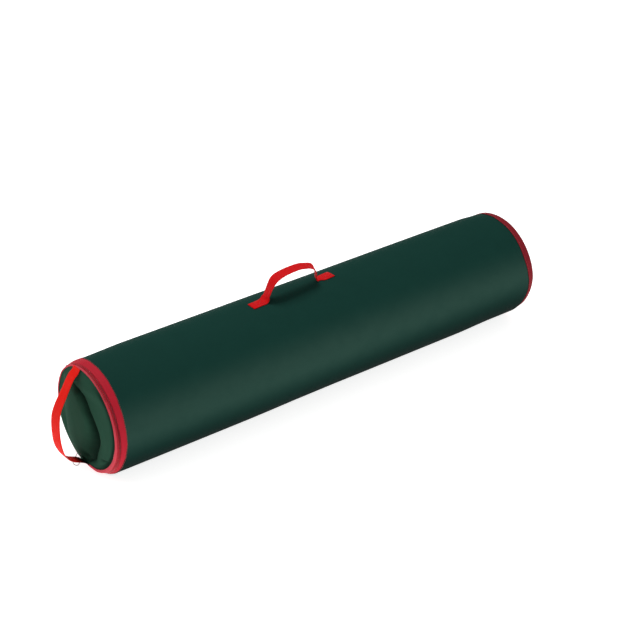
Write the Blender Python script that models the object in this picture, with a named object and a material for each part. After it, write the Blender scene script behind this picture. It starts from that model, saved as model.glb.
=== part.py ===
"""A round zip-up bag for rolls of gift wrap, lying on its side.

The tube runs along X, with its zipped mouth at -X and its sewn base at +X. It lies on the ground, z = 0,
and the origin is the middle of the strip that it lies on. Most shapes are drawn round the tube's axis: a
place along the tube is its distance inwards from the mouth, and a height is measured from the axis.
"""

from math import asin, atan2, cos, exp, pi, radians, sin, sqrt

import bmesh
import bpy
from mathutils import Matrix, Vector

# Tube
TUBE_LENGTH = 1.02
TUBE_RADIUS = 0.1095
FACETS = 48
CLEARANCE = 0.0003
SHELL_THICKNESS = 0.0008
STIFFENER_THICKNESS = 0.0008
LINING_THICKNESS = 0.0005
STIFFENER_SLOT_WIDTH = 0.002
LINING_MARGIN = 0.001
SEAM_ANGLE = radians(-45)
SEAM_WIDTH = 0.008
SEAM_THICKNESS = 0.0006
SEAM_END_MARGIN = 0.001

# Base, at the far end
BASE_TAPER = 0.0022
BASE_TAPER_LENGTH = 0.003
BASE_BINDING_WIDTH = 0.015
BASE_BINDING_LIP = 0.011
BASE_BINDING_THICKNESS = 0.0008
BASE_PANEL_THICKNESS = 0.0008
BASE_STIFFENER_THICKNESS = 0.0008

# Zipped mouth, each place measured inwards from the lid's face
BAND_LENGTH = 0.0195
RIM_RADIUS = 0.1035
TAPE_THICKNESS = 0.0008
TAPE_UNDERLAP = 0.006
BINDING_WIDTH = 0.0022
BINDING_LIP = 0.005
BINDING_THICKNESS = 0.0009
CHAIN_CENTRE = 0.0080
CHAIN_GAP = 0.001
CHAIN_HALF_WIDTH = 0.0022
CHAIN_PROUD = 0.0005
CHAIN_DEPTH = 0.0022
LID_THICKNESS = 0.0008
LID_RINGS = 11
LID_SWELL = 0.013
STRIP_SWELL = 0.005
CREASE_SIDE_SHARE = -0.41
CREASE_HEIGHT_SHARE = -0.145
CREASE_UPPER_BEND_SHARE = 0.83
CREASE_LOWER_BEND_SHARE = 0.62
CREASE_REAR_SHARE = 0.19
CREASE_FRONT_SHARE = 0.07

# Fold line of the lid, upright at the rear, and where the zip's chains stop short of it
FOLD_ANGLE = radians(45)
FOLD_GAP = 0.0003
FOLD_OUTSET = 0.003
CHAIN_END_GAP = 0.0035
STOP_WIDTH = 0.0022
STOP_LENGTH = 0.0018
STOP_HEIGHT = 0.0030

# Zip slider and its wire loop
SLIDER_ANGLE = radians(-68)
SLIDER_LENGTH = 0.013
SLIDER_FRONT_WIDTH = 0.0092
SLIDER_REAR_WIDTH = 0.0068
SLIDER_PLATE = 0.0012
SLIDER_TOP_CLEARANCE = 0.0006
SLIDER_BOTTOM_CLEARANCE = 0.0013
SLIDER_POST_THICKNESS = 0.00044
SLIDER_POST_LENGTH = 0.005
CROWN_LENGTH = 0.009
CROWN_WIDTH = 0.002
CROWN_THICKNESS = 0.0009
LOOP_WIRE_RADIUS = 0.0006
LOOP_LENGTH = 0.030
LOOP_WIDTH = 0.013
LOOP_CORNER = 0.002
LOOP_CORNER_POINTS = 4
LOOP_END_POINTS = 9
LOOP_TURN = radians(51)
LOOP_LIFT = radians(10.2)

# Webbing of both handles
WEBBING_WIDTH = 0.025
WEBBING_THICKNESS = 0.0014
WEBBING_STEPS_PER_SPAN = 3

# Carry handle, on top of the tube
CARRY_CENTRE_OFFSET = -0.0275
CARRY_SIDE_OFFSET = 0.005
CARRY_SKEW = radians(4.5)
CARRY_SEWN_LENGTH = 0.030
CARRY_SPAN = 0.138
CARRY_RISE = 0.048
CARRY_PIVOT_HEIGHT = 0.012
CARRY_ROUTE_SHARES = (
    (0.000, 0.000), (0.024, 0.070), (0.050, 0.290), (0.087, 0.560), (0.138, 0.800), (0.210, 0.937),
    (0.319, 0.992), (0.464, 1.000), (0.609, 0.954), (0.739, 0.854), (0.841, 0.700), (0.899, 0.490),
    (0.933, 0.260), (0.965, 0.075), (1.000, 0.000),
)
STITCH_END_MARGIN = 0.005
STITCH_SIDE_MARGIN = 0.004
STITCH_WIDTH = 0.0009
STITCH_HEIGHT = 0.0005

# End handle, across the lid from top to bottom
END_SIDE_OFFSET = 0.008
END_REACH = 0.0578
END_TOP_INSET = 0.0030
END_BOTTOM_INSET = 0.0035
END_PIVOT_REACH = 0.013
END_ROUTE_SHARES = (
    (0.000, 0.000), (0.121, 0.008), (0.234, 0.025), (0.363, 0.062), (0.519, 0.120), (0.683, 0.180),
    (0.822, 0.247), (0.912, 0.317), (0.960, 0.397), (0.990, 0.486), (1.000, 0.581), (0.976, 0.671),
    (0.908, 0.756), (0.779, 0.833), (0.606, 0.885), (0.415, 0.915), (0.242, 0.938), (0.112, 0.963), (0.000, 1.000),
)

# Stitching rows
ROW_STITCH_RADIUS = 0.00025
TAPE_STITCH_INSET = 0.0045
LID_STITCH_INSET = 0.0015
BASE_STITCH_INSET = 0.0132

# Colours, with roughness and metallic
GREEN_FABRIC = ((0.010, 0.045, 0.034), 0.60, 0.0)
LID_FABRIC = ((0.024, 0.075, 0.047), 0.68, 0.0)
LINING_FABRIC = ((0.020, 0.055, 0.042), 0.80, 0.0)
RED_TAPE = ((0.50, 0.022, 0.045), 0.62, 0.0)
RED_WEBBING = ((0.72, 0.018, 0.022), 0.62, 0.0)
RED_BINDING = ((0.25, 0.014, 0.022), 0.66, 0.0)
RED_COIL = ((0.36, 0.010, 0.022), 0.45, 0.0)
RED_THREAD = ((0.45, 0.015, 0.025), 0.60, 0.0)
CLEAR_SHEET = ((0.60, 0.62, 0.62), 0.35, 0.0)
ZIP_METAL = ((0.42, 0.41, 0.40), 0.32, 1.0)

FACET_STEP = 2 * pi / FACETS
FLATNESS = cos(FACET_STEP / 2)
AXIS_HEIGHT = TUBE_RADIUS * FLATNESS
MOUTH_X = -TUBE_LENGTH / 2
BAND_SLOPE = atan2(TUBE_RADIUS - RIM_RADIUS, BAND_LENGTH)
CHAIN_START = CHAIN_GAP / 2
CHAIN_END = CHAIN_START + CHAIN_HALF_WIDTH
TAPE_INNER_EDGE = CHAIN_END + CLEARANCE
LID_TAPE_START = (BINDING_WIDTH + CLEARANCE - CHAIN_CENTRE) / cos(BAND_SLOPE)
SHELL_START = BAND_LENGTH + CLEARANCE
SHELL_END = TUBE_LENGTH - CLEARANCE
SHELL_INSIDE = TUBE_RADIUS - SHELL_THICKNESS
STIFFENER_START = BAND_LENGTH + TAPE_UNDERLAP + CLEARANCE
STIFFENER_OUTSIDE = SHELL_INSIDE - CLEARANCE
LINING_OUTSIDE = STIFFENER_OUTSIDE - STIFFENER_THICKNESS - CLEARANCE
TAPER_END = TUBE_LENGTH - BASE_BINDING_WIDTH - CLEARANCE
TAPER_START = TAPER_END - BASE_TAPER_LENGTH
BASE_RADIUS = TUBE_RADIUS - BASE_TAPER
FOLD_SIDE = RIM_RADIUS * cos(FOLD_ANGLE)


def material(name, finish):
    colour, roughness, metallic = finish
    made = bpy.data.materials.new(name)
    made.use_nodes = True
    shader = made.node_tree.nodes["Principled BSDF"]
    shader.inputs["Base Color"].default_value = (*colour, 1)
    shader.inputs["Roughness"].default_value = roughness
    shader.inputs["Metallic"].default_value = metallic
    made.diffuse_color = (*colour, 1)
    return made


def empty(name, place, parent=None):
    """An empty that carries pieces, placed in the space of its parent."""
    made = bpy.data.objects.new(name, None)
    bpy.context.scene.collection.objects.link(made)
    made.parent = parent
    made.matrix_local = place
    return made


def add_piece(name, bm, finish, carrier, sharp_angle=radians(40)):
    """Make a named object from a mesh that is drawn in the space of the empty that carries it."""
    bmesh.ops.recalc_face_normals(bm, faces=bm.faces)
    mesh = bpy.data.meshes.new(name)
    bm.to_mesh(mesh)
    bm.free()
    mesh.shade_smooth()
    mesh.set_sharp_from_angle(angle=sharp_angle)
    mesh.materials.append(material(name + "_finish", finish))
    made = bpy.data.objects.new(name, mesh)
    bpy.context.scene.collection.objects.link(made)
    made.parent = carrier
    return made


def moved(bm, offset):
    bmesh.ops.translate(bm, verts=bm.verts, vec=Vector(offset))
    return bm


def band_radius(place):
    """Radius of the cone that the zip band lies on, between the lid's rim and the tube."""
    return RIM_RADIUS + (TUBE_RADIUS - RIM_RADIUS) * place / BAND_LENGTH


def on_band(across, raised):
    """A (place, radius) point of the band: across is measured along its slope from the chain's centre."""
    place = CHAIN_CENTRE + across * cos(BAND_SLOPE) - raised * sin(BAND_SLOPE)
    return place, band_radius(CHAIN_CENTRE) + across * sin(BAND_SLOPE) + raised * cos(BAND_SLOPE)


def turned(profile):
    """Turn a closed outline of (place, radius) points about the tube's axis, facet by facet."""
    bm = bmesh.new()
    start = Matrix.Rotation(FACET_STEP / 2, 4, "X")
    corners = [bm.verts.new(start @ Vector((MOUTH_X + place, radius, 0))) for place, radius in profile]
    sides = [bm.edges.new((a, b)) for a, b in zip(corners, corners[1:] + corners[:1])]
    bmesh.ops.spin(
        bm, geom=corners + sides, cent=(0, 0, 0), axis=(1, 0, 0), angle=2 * pi, steps=FACETS, use_merge=True
    )
    return bm


def turned_disc(rings):
    """Turn an open outline that starts and ends on the axis into a solid disc."""
    bm = bmesh.new()
    start = Matrix.Rotation(FACET_STEP / 2, 4, "X")
    corners = [bm.verts.new(start @ Vector((MOUTH_X + place, radius, 0))) for place, radius in rings]
    sides = [bm.edges.new((a, b)) for a, b in zip(corners, corners[1:])]
    bmesh.ops.spin(
        bm, geom=corners + sides, cent=(0, 0, 0), axis=(1, 0, 0), angle=2 * pi, steps=FACETS, use_merge=True
    )
    bmesh.ops.remove_doubles(bm, verts=bm.verts, dist=CLEARANCE / 10)
    return bm


def cut_away(bm, point, outwards):
    """Cut a solid with a plane, drop what lies on the plane's outer side and close the cut."""
    result = bmesh.ops.bisect_plane(
        bm, geom=bm.verts[:] + bm.edges[:] + bm.faces[:], plane_co=point, plane_no=outwards, clear_outer=True
    )
    rim = [item for item in result["geom_cut"] if isinstance(item, bmesh.types.BMEdge)]
    bmesh.ops.holes_fill(bm, edges=rim)
    return bm


def front_of_fold(bm, gap=FOLD_GAP / 2):
    return cut_away(bm, (0, FOLD_SIDE - gap, 0), (0, 1, 0))


def behind_fold(bm, gap=FOLD_GAP / 2):
    return cut_away(bm, (0, FOLD_SIDE + gap, 0), (0, -1, 0))


def box(size, centre=(0, 0, 0)):
    bm = bmesh.new()
    bmesh.ops.create_cube(bm, size=1)
    bmesh.ops.scale(bm, vec=Vector(size), verts=bm.verts)
    return moved(bm, centre)


def prism(outline, depth, to_place):
    """Raise a flat closed outline by a depth; to_place turns each (x, y, z) of it into a point."""
    bm = bmesh.new()
    face = bm.faces.new([bm.verts.new((x, y, 0)) for x, y in outline])
    raised = bmesh.ops.extrude_face_region(bm, geom=[face])
    tops = [item for item in raised["geom"] if isinstance(item, bmesh.types.BMVert)]
    bmesh.ops.translate(bm, verts=tops, vec=(0, 0, depth))
    for vert in bm.verts:
        vert.co = to_place(vert.co)
    return bm


def add_cutter(name, bm, carrier):
    """An object that only lends its shape to a Boolean."""
    mesh = bpy.data.meshes.new(name)
    bmesh.ops.recalc_face_normals(bm, faces=bm.faces)
    bm.to_mesh(mesh)
    bm.free()
    made = bpy.data.objects.new(name, mesh)
    bpy.context.scene.collection.objects.link(made)
    made.parent = carrier
    made.hide_render = True
    made.display_type = "WIRE"
    return made


def join(piece, other, name):
    step = piece.modifiers.new(name, "BOOLEAN")
    step.operation = "UNION"
    step.solver = "EXACT"
    step.object = other


def smooth_route(points, steps):
    """A smooth curve through the points, with the given number of steps between two of them."""
    padded = [points[0] * 2 - points[1], *points, points[-1] * 2 - points[-2]]
    route = []
    for a, b, c, d in zip(padded, padded[1:], padded[2:], padded[3:]):
        for step in range(steps):
            t = step / steps
            route.append(
                (b * 2 + (c - a) * t + (a * 2 - b * 5 + c * 4 - d) * t**2 + (b * 3 - a - c * 3 + d) * t**3) / 2
            )
    return [*route, points[-1]]


def webbing(route):
    """A strap of webbing: the route, in the XZ plane, is its lower side, and it is centred on Y."""
    bm = bmesh.new()
    rows = []
    for index, point in enumerate(route):
        before = (point - route[index - 1]).normalized() if index else Vector()
        after = (route[index + 1] - point).normalized() if index + 1 < len(route) else Vector()
        along = (before + after).normalized()
        outwards = Vector((-along.z, 0, along.x))
        mitre = max(along.dot(before), along.dot(after))
        raised = point + outwards * (WEBBING_THICKNESS / mitre)
        half = Vector((0, WEBBING_WIDTH / 2, 0))
        rows.append([bm.verts.new(spot) for spot in (point - half, point + half, raised + half, raised - half)])
    for first, second in zip(rows, rows[1:]):
        for index in range(4):
            following = (index + 1) % 4
            bm.faces.new((first[index], second[index], second[following], first[following]))
    bm.faces.new(rows[0])
    bm.faces.new(rows[-1])
    return bm


def facet_top(side, radius):
    """Height of the faceted tube of this radius at a distance to the side of its top line."""
    tilt = round(asin(side / radius) / FACET_STEP) * FACET_STEP
    return (radius * FLATNESS - side * sin(tilt)) / cos(tilt)


def build_tube(axis):
    """The fabric tube, the sheets inside it and its base."""
    inside_end = BASE_RADIUS - SHELL_THICKNESS
    shell = turned([
        (SHELL_START, TUBE_RADIUS), (TAPER_START, TUBE_RADIUS), (TAPER_END, BASE_RADIUS), (SHELL_END, BASE_RADIUS),
        (SHELL_END, inside_end), (TAPER_END, inside_end), (TAPER_START, SHELL_INSIDE), (SHELL_START, SHELL_INSIDE),
    ])
    add_piece("shell_fabric", shell, GREEN_FABRIC, axis)

    sheet_end = TAPER_START - CLEARANCE
    stiffener = turned([
        (STIFFENER_START, STIFFENER_OUTSIDE), (sheet_end, STIFFENER_OUTSIDE),
        (sheet_end, STIFFENER_OUTSIDE - STIFFENER_THICKNESS),
        (STIFFENER_START, STIFFENER_OUTSIDE - STIFFENER_THICKNESS),
    ])
    bmesh.ops.rotate(stiffener, verts=stiffener.verts, cent=(0, 0, 0), matrix=Matrix.Rotation(-SEAM_ANGLE, 3, "X"))
    slot = box((2 * TUBE_LENGTH, TUBE_RADIUS, STIFFENER_SLOT_WIDTH), (0, TUBE_RADIUS, 0))
    sheet = add_piece("wall_stiffener", stiffener, CLEAR_SHEET, axis)
    sheet.matrix_local = Matrix.Rotation(SEAM_ANGLE, 4, "X")
    cutter = add_cutter("stiffener_slot", slot, axis)
    cutter.matrix_local = Matrix.Rotation(SEAM_ANGLE, 4, "X")
    opened = sheet.modifiers.new("butt_joint", "BOOLEAN")
    opened.operation = "DIFFERENCE"
    opened.solver = "EXACT"
    opened.object = cutter

    lining_start = BAND_LENGTH + LINING_MARGIN
    lining = turned([
        (lining_start, LINING_OUTSIDE), (sheet_end, LINING_OUTSIDE),
        (sheet_end, LINING_OUTSIDE - LINING_THICKNESS), (lining_start, LINING_OUTSIDE - LINING_THICKNESS),
    ])
    add_piece("inner_lining", lining, LINING_FABRIC, axis)

    seam_start = SHELL_START + SEAM_END_MARGIN
    seam_end = TAPER_START - SEAM_END_MARGIN
    height = TUBE_RADIUS * FLATNESS + CLEARANCE + SEAM_THICKNESS / 2
    seam = box(
        (seam_end - seam_start, SEAM_WIDTH, SEAM_THICKNESS), (MOUTH_X + (seam_start + seam_end) / 2, 0, height)
    )
    bmesh.ops.bevel(
        seam, geom=[edge for edge in seam.edges if edge.calc_length() > SEAM_WIDTH], offset=SEAM_THICKNESS / 3,
        segments=1, affect="EDGES", profile=0.5, material=-1,
    )
    strip = add_piece("shell_seam", seam, GREEN_FABRIC, axis)
    strip.matrix_local = Matrix.Rotation(SEAM_ANGLE - pi / 2, 4, "X")

    panel_radius = inside_end - CLEARANCE
    panel_face = TUBE_LENGTH - CLEARANCE
    panel_back = panel_face - BASE_PANEL_THICKNESS
    add_piece("base_panel", turned_disc([
        (panel_face, 0), (panel_face, panel_radius), (panel_back, panel_radius), (panel_back, 0),
    ]), GREEN_FABRIC, axis)
    board_face = panel_back - CLEARANCE
    board_back = board_face - BASE_STIFFENER_THICKNESS
    add_piece("base_stiffener", turned_disc([
        (board_face, 0), (board_face, panel_radius), (board_back, panel_radius), (board_back, 0),
    ]), CLEAR_SHEET, axis)

    seat = BASE_RADIUS + CLEARANCE
    outside = seat + BASE_BINDING_THICKNESS
    side_start = TUBE_LENGTH - BASE_BINDING_WIDTH
    end_face = TUBE_LENGTH + BASE_BINDING_THICKNESS
    lip = outside - BASE_BINDING_LIP
    add_piece("base_binding", turned([
        (side_start, outside), (end_face, outside), (end_face, lip), (TUBE_LENGTH, lip),
        (TUBE_LENGTH, seat), (side_start, seat),
    ]), RED_BINDING, axis)
    add_piece(
        "base_stitching", thread_ring(TUBE_LENGTH - BASE_STITCH_INSET, outside), RED_THREAD, axis
    )


def thread_ring(place, seat):
    """A row of stitches round the tube, as one thin ring just off the surface that it is sewn into."""
    low = seat + CLEARANCE
    return turned([
        (place - ROW_STITCH_RADIUS, low), (place + ROW_STITCH_RADIUS, low),
        (place, low + 2 * ROW_STITCH_RADIUS),
    ])


def tape_profile(start, end):
    """Cross-section of a zip tape that lies on the band."""
    return [on_band(start, 0), on_band(end, 0), on_band(end, -TAPE_THICKNESS), on_band(start, -TAPE_THICKNESS)]


def chain_profile(side):
    """Cross-section of the body's (side 1) or the lid's (side -1) half of the chain, corners taken off."""
    top, low = CHAIN_PROUD, CHAIN_PROUD - CHAIN_DEPTH
    corner = CHAIN_HALF_WIDTH / 4
    outline = [
        (CHAIN_START, top - corner), (CHAIN_START + corner, top), (CHAIN_END - corner, top), (CHAIN_END, top - corner),
        (CHAIN_END, low + corner), (CHAIN_END - corner, low), (CHAIN_START + corner, low), (CHAIN_START, low + corner),
    ]
    return [on_band(side * across, raised) for across, raised in outline]


def build_mouth(axis, lid):
    """The zip round the mouth, the lid and the stretch of it that stays sewn to the tube."""
    underlap = SHELL_INSIDE - CLEARANCE
    body_tape = [
        on_band(TAPE_INNER_EDGE, 0), (BAND_LENGTH, band_radius(BAND_LENGTH)),
        (BAND_LENGTH, underlap), (BAND_LENGTH + TAPE_UNDERLAP, underlap),
        (BAND_LENGTH + TAPE_UNDERLAP, underlap - TAPE_THICKNESS), (BAND_LENGTH, underlap - TAPE_THICKNESS),
        on_band(TAPE_INNER_EDGE, -TAPE_THICKNESS),
    ]
    add_piece("zip_tape_body", turned(body_tape), RED_TAPE, axis)
    tape_stitches = BAND_LENGTH - TAPE_STITCH_INSET
    add_piece("zip_tape_stitching", thread_ring(tape_stitches, band_radius(tape_stitches)), RED_THREAD, axis)
    body_chain = front_of_fold(turned(chain_profile(1)), CHAIN_END_GAP)
    add_piece("zip_chain_body", body_chain, RED_COIL, axis)

    lid_chain = front_of_fold(turned(chain_profile(-1)), CHAIN_END_GAP)
    add_piece("zip_chain_lid", to_hinge(lid_chain), RED_COIL, lid)
    lid_tape = front_of_fold(turned(tape_profile(LID_TAPE_START, -TAPE_INNER_EDGE)))
    add_piece("zip_tape_lid", to_hinge(lid_tape), RED_TAPE, lid)
    lid_stitches = BINDING_WIDTH + LID_STITCH_INSET
    ring = front_of_fold(thread_ring(lid_stitches, band_radius(lid_stitches)))
    add_piece("lid_stitching", to_hinge(ring), RED_THREAD, lid)
    hinge = behind_fold(turned(tape_profile(LID_TAPE_START, TAPE_INNER_EDGE - CLEARANCE)))
    add_piece("hinge_tape", hinge, RED_TAPE, axis)

    outside = RIM_RADIUS + CLEARANCE
    face = -BINDING_THICKNESS - CLEARANCE
    back = -CLEARANCE
    lip = RIM_RADIUS - BINDING_LIP
    seat = RIM_RADIUS - BINDING_THICKNESS
    corner = BINDING_THICKNESS / 2
    binding = [
        (BINDING_WIDTH, band_radius(BINDING_WIDTH)), (-corner, outside), (face, RIM_RADIUS - corner),
        (face, lip), (back, lip), (back, seat), (BINDING_WIDTH, seat),
    ]
    add_piece("lid_binding", to_hinge(front_of_fold(turned(binding))), RED_TAPE, lid)
    add_piece("hinge_binding", behind_fold(turned(binding)), RED_TAPE, axis)

    panel_radius = seat - CLEARANCE
    swell_radius = lip - CLEARANCE
    rings = [swell_radius * step / LID_RINGS for step in range(LID_RINGS + 1)]
    panel = [*((0, radius) for radius in rings), (0, panel_radius), (LID_THICKNESS, panel_radius)]
    panel += [(LID_THICKNESS, radius) for radius in reversed(rings)]
    cloth = front_of_fold(turned_disc(panel))
    for vert in cloth.verts:
        vert.co.x -= lid_swell(vert.co.y, vert.co.z, swell_radius)
    add_piece("lid_panel", to_hinge(cloth), LID_FABRIC, lid)
    add_piece("hinge_panel", behind_fold(turned_disc(panel)), LID_FABRIC, axis)
    build_stops(axis)


def lid_swell(side, height, swell_radius):
    """How far the lid's cloth stands out: a full rear part and a low front strip, with a crease between them."""
    reach = min(1, sqrt(side**2 + height**2) / swell_radius)
    rise = height / RIM_RADIUS - CREASE_HEIGHT_SHARE
    bend = CREASE_UPPER_BEND_SHARE if rise > 0 else CREASE_LOWER_BEND_SHARE
    behind_crease = side / RIM_RADIUS - CREASE_SIDE_SHARE - bend * rise**2
    if behind_crease > 0:
        to_fold = 1 - (max(0, side) / FOLD_SIDE) ** 4
        return LID_SWELL * (1 - reach**6) * to_fold * (1 - exp(-behind_crease / CREASE_REAR_SHARE))
    return STRIP_SWELL * (1 - reach**2) * (1 - exp(behind_crease / CREASE_FRONT_SHARE))


def to_hinge(bm):
    """Shift a mesh drawn about the tube's axis into the space of the lid's hinge."""
    return moved(bm, (-MOUTH_X + FOLD_OUTSET, -FOLD_SIDE, 0))


def build_stops(axis):
    """A small clip beyond each end of the body's half of the zip chain."""
    place, radius = on_band((CHAIN_START + CHAIN_END) / 2, CHAIN_PROUD - CHAIN_DEPTH / 2)
    end_side = FOLD_SIDE - CHAIN_END_GAP
    angle = pi / 2 - asin(end_side / radius) - (CLEARANCE * 2 + STOP_LENGTH) / radius
    for name, turn in (("zip_stop_open", angle), ("zip_stop_closed", -angle)):
        clip = box((STOP_WIDTH, STOP_LENGTH, STOP_HEIGHT))
        bmesh.ops.bevel(
            clip, geom=clip.edges[:], offset=STOP_LENGTH / 6, segments=1, affect="EDGES", profile=0.5, material=-1
        )
        made = add_piece(name, clip, ZIP_METAL, axis)
        centre = Matrix.Translation((MOUTH_X + place, 0, radius)) @ Matrix.Rotation(-BAND_SLOPE, 4, "Y")
        made.matrix_local = Matrix.Rotation(turn - pi / 2, 4, "X") @ centre


def slider_outline():
    """Plan of the slider's plates: wide in front, narrow behind, corners taken off."""
    front, rear, half = SLIDER_FRONT_WIDTH / 2, SLIDER_REAR_WIDTH / 2, SLIDER_LENGTH / 2
    corner = SLIDER_REAR_WIDTH / 5
    right = [(front - corner, -half), (front, corner - half), (front, 0), (rear, half - corner), (rear - corner, half)]
    return right + [(-across, along) for across, along in reversed(right)]


def build_slider(travel):
    """The zip slider and its wire loop, drawn at the top of the mouth in the space of the turning empty."""
    centre = Matrix.Translation((MOUTH_X + CHAIN_CENTRE, 0, band_radius(CHAIN_CENTRE)))
    frame = empty("slider_frame", centre @ Matrix.Rotation(-BAND_SLOPE, 4, "Y"), travel)
    plate_low = CHAIN_PROUD + SLIDER_TOP_CLEARANCE
    plate_top = plate_low + SLIDER_PLATE
    below = CHAIN_PROUD - CHAIN_DEPTH - SLIDER_BOTTOM_CLEARANCE
    body = add_piece(
        "slider_body", prism(slider_outline(), SLIDER_PLATE, lambda co: co + Vector((0, 0, plate_low))),
        ZIP_METAL, frame,
    )
    lower = prism(slider_outline(), SLIDER_PLATE, lambda co: co + Vector((0, 0, below - SLIDER_PLATE)))
    join(body, add_cutter("slider_lower_plate", lower, frame), "lower_plate")
    post_low = below - SLIDER_PLATE / 2
    post_top = plate_low + SLIDER_PLATE / 2
    post = box(
        (SLIDER_POST_THICKNESS, SLIDER_POST_LENGTH, post_top - post_low),
        (0, (SLIDER_POST_LENGTH - SLIDER_LENGTH) / 2 + SLIDER_POST_THICKNESS, (post_low + post_top) / 2),
    )
    join(body, add_cutter("slider_post", post, frame), "post")

    room = 2 * LOOP_WIRE_RADIUS + 2 * CLEARANCE
    half = CROWN_LENGTH / 2
    rise = room + CROWN_THICKNESS
    sunk = -SLIDER_PLATE / 2
    arch = [
        (-half, sunk), (-half, room), (-half + CROWN_THICKNESS, rise), (half - CROWN_THICKNESS, rise),
        (half, room), (half, sunk), (half - CROWN_THICKNESS, sunk), (half - CROWN_THICKNESS, room),
        (-half + CROWN_THICKNESS, room), (-half + CROWN_THICKNESS, sunk),
    ]
    crown = prism(
        arch, CROWN_WIDTH, lambda co: Vector((co.z - CROWN_WIDTH / 2, co.x, co.y + plate_top))
    )
    join(body, add_cutter("slider_crown", crown, frame), "crown")

    wire_height = plate_top + CLEARANCE + LOOP_WIRE_RADIUS
    turn = Matrix.Rotation(LOOP_TURN, 4, "Z") @ Matrix.Rotation(LOOP_LIFT, 4, "X")
    hinge = empty("pull_loop_hinge", Matrix.Translation((0, 0, wire_height)) @ turn, frame)
    add_pull_loop(hinge)


def add_pull_loop(hinge):
    """A long wire loop whose straight near end lies on the hinge's X axis, and which points along its +Y."""
    bend = LOOP_WIDTH / 2 - LOOP_WIRE_RADIUS
    far_centre = LOOP_LENGTH - LOOP_WIDTH / 2 - LOOP_WIRE_RADIUS
    angles = [pi * step / (LOOP_END_POINTS - 1) for step in range(LOOP_END_POINTS)]
    points = [(bend * cos(angle), far_centre + bend * sin(angle)) for angle in angles]
    corner = bend - LOOP_CORNER
    angles = [pi / 2 * step / (LOOP_CORNER_POINTS - 1) for step in range(LOOP_CORNER_POINTS)]
    near = [(corner + LOOP_CORNER * sin(angle), LOOP_CORNER - LOOP_CORNER * cos(angle)) for angle in angles]
    points += [(-across, along) for across, along in reversed(near)] + near
    curve = bpy.data.curves.new("pull_loop", "CURVE")
    curve.dimensions = "3D"
    curve.bevel_depth = LOOP_WIRE_RADIUS
    curve.bevel_resolution = 1
    spline = curve.splines.new("POLY")
    spline.points.add(len(points) - 1)
    for point, (across, along) in zip(spline.points, points):
        point.co = (across, along, 0, 1)
    spline.use_cyclic_u = True
    curve.materials.append(material("pull_loop_finish", ZIP_METAL))
    loop = bpy.data.objects.new("pull_loop", curve)
    bpy.context.scene.collection.objects.link(loop)
    loop.parent = hinge


def carry_route():
    """Middle line of the carry handle, about the middle of the handle on the tube's top line."""
    start = -CARRY_SPAN / 2
    arch = [Vector((start + along * CARRY_SPAN, 0, up * CARRY_RISE)) for along, up in CARRY_ROUTE_SHARES]
    sewn = Vector((CARRY_SEWN_LENGTH, 0, 0))
    return [arch[0] - sewn, *smooth_route(arch, WEBBING_STEPS_PER_SPAN), arch[-1] + sewn]


def carry_pivots(route):
    """The two places where the arch passes the height that it folds at."""
    found = []
    for a, b in zip(route, route[1:]):
        if (a.z - CARRY_PIVOT_HEIGHT) * (b.z - CARRY_PIVOT_HEIGHT) < 0:
            found.append(a.x + (b.x - a.x) * (CARRY_PIVOT_HEIGHT - a.z) / (b.z - a.z))
    return found


def build_carry_handle(axis):
    """The webbing arch on top of the tube, with its two sewn ends."""
    top = TUBE_RADIUS * FLATNESS
    skew = Matrix.Translation((CARRY_CENTRE_OFFSET, CARRY_SIDE_OFFSET, top)) @ Matrix.Rotation(CARRY_SKEW, 4, "Z")
    seat = empty("carry_handle_seat", skew, axis)
    pivot = empty("carry_handle_pivot", Matrix.Translation((0, 0, CARRY_PIVOT_HEIGHT)), seat)
    route = carry_route()
    near_cut, far_cut = carry_pivots(route)
    gap = CLEARANCE / 2
    farthest_side = abs(CARRY_SIDE_OFFSET) + WEBBING_WIDTH / 2 + abs(sin(CARRY_SKEW) * route[-1].x)
    facets = int(asin(farthest_side / TUBE_RADIUS) / FACET_STEP) + 1

    def strap():
        """The whole strap, with its sewn ends pressed down onto the facets of the tube."""
        bm = webbing(route)
        to_seat = skew.inverted()
        for facet in range(-facets, facets):
            fold = to_seat @ Vector((0, TUBE_RADIUS * sin((facet + 0.5) * FACET_STEP), 0))
            bmesh.ops.bisect_plane(
                bm, geom=bm.verts[:] + bm.edges[:] + bm.faces[:], plane_co=fold,
                plane_no=to_seat.to_3x3() @ Vector((0, 1, 0)),
            )
        for vert in bm.verts:
            drop = facet_top((skew @ vert.co).y, TUBE_RADIUS) - top
            hold = (CARRY_PIVOT_HEIGHT - vert.co.z) / (CARRY_PIVOT_HEIGHT - WEBBING_THICKNESS)
            vert.co.z += drop * min(1, max(0, hold)) + CLEARANCE
        return bm

    near = cut_away(strap(), (near_cut - gap, 0, 0), (1, 0, 0))
    add_piece("carry_handle_near_end", near, RED_WEBBING, seat)
    far = cut_away(strap(), (far_cut + gap, 0, 0), (-1, 0, 0))
    add_piece("carry_handle_far_end", far, RED_WEBBING, seat)
    loop = cut_away(strap(), (near_cut + gap, 0, 0), (-1, 0, 0))
    loop = cut_away(loop, (far_cut - gap, 0, 0), (1, 0, 0))
    add_piece("carry_handle_loop", moved(loop, (0, 0, -CARRY_PIVOT_HEIGHT)), RED_WEBBING, pivot)

    middle = (CARRY_SPAN + CARRY_SEWN_LENGTH) / 2
    for name, side in (("near_end_stitching", -1), ("far_end_stitching", 1)):
        build_box_stitch(name, seat, side * middle, skew)


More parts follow.
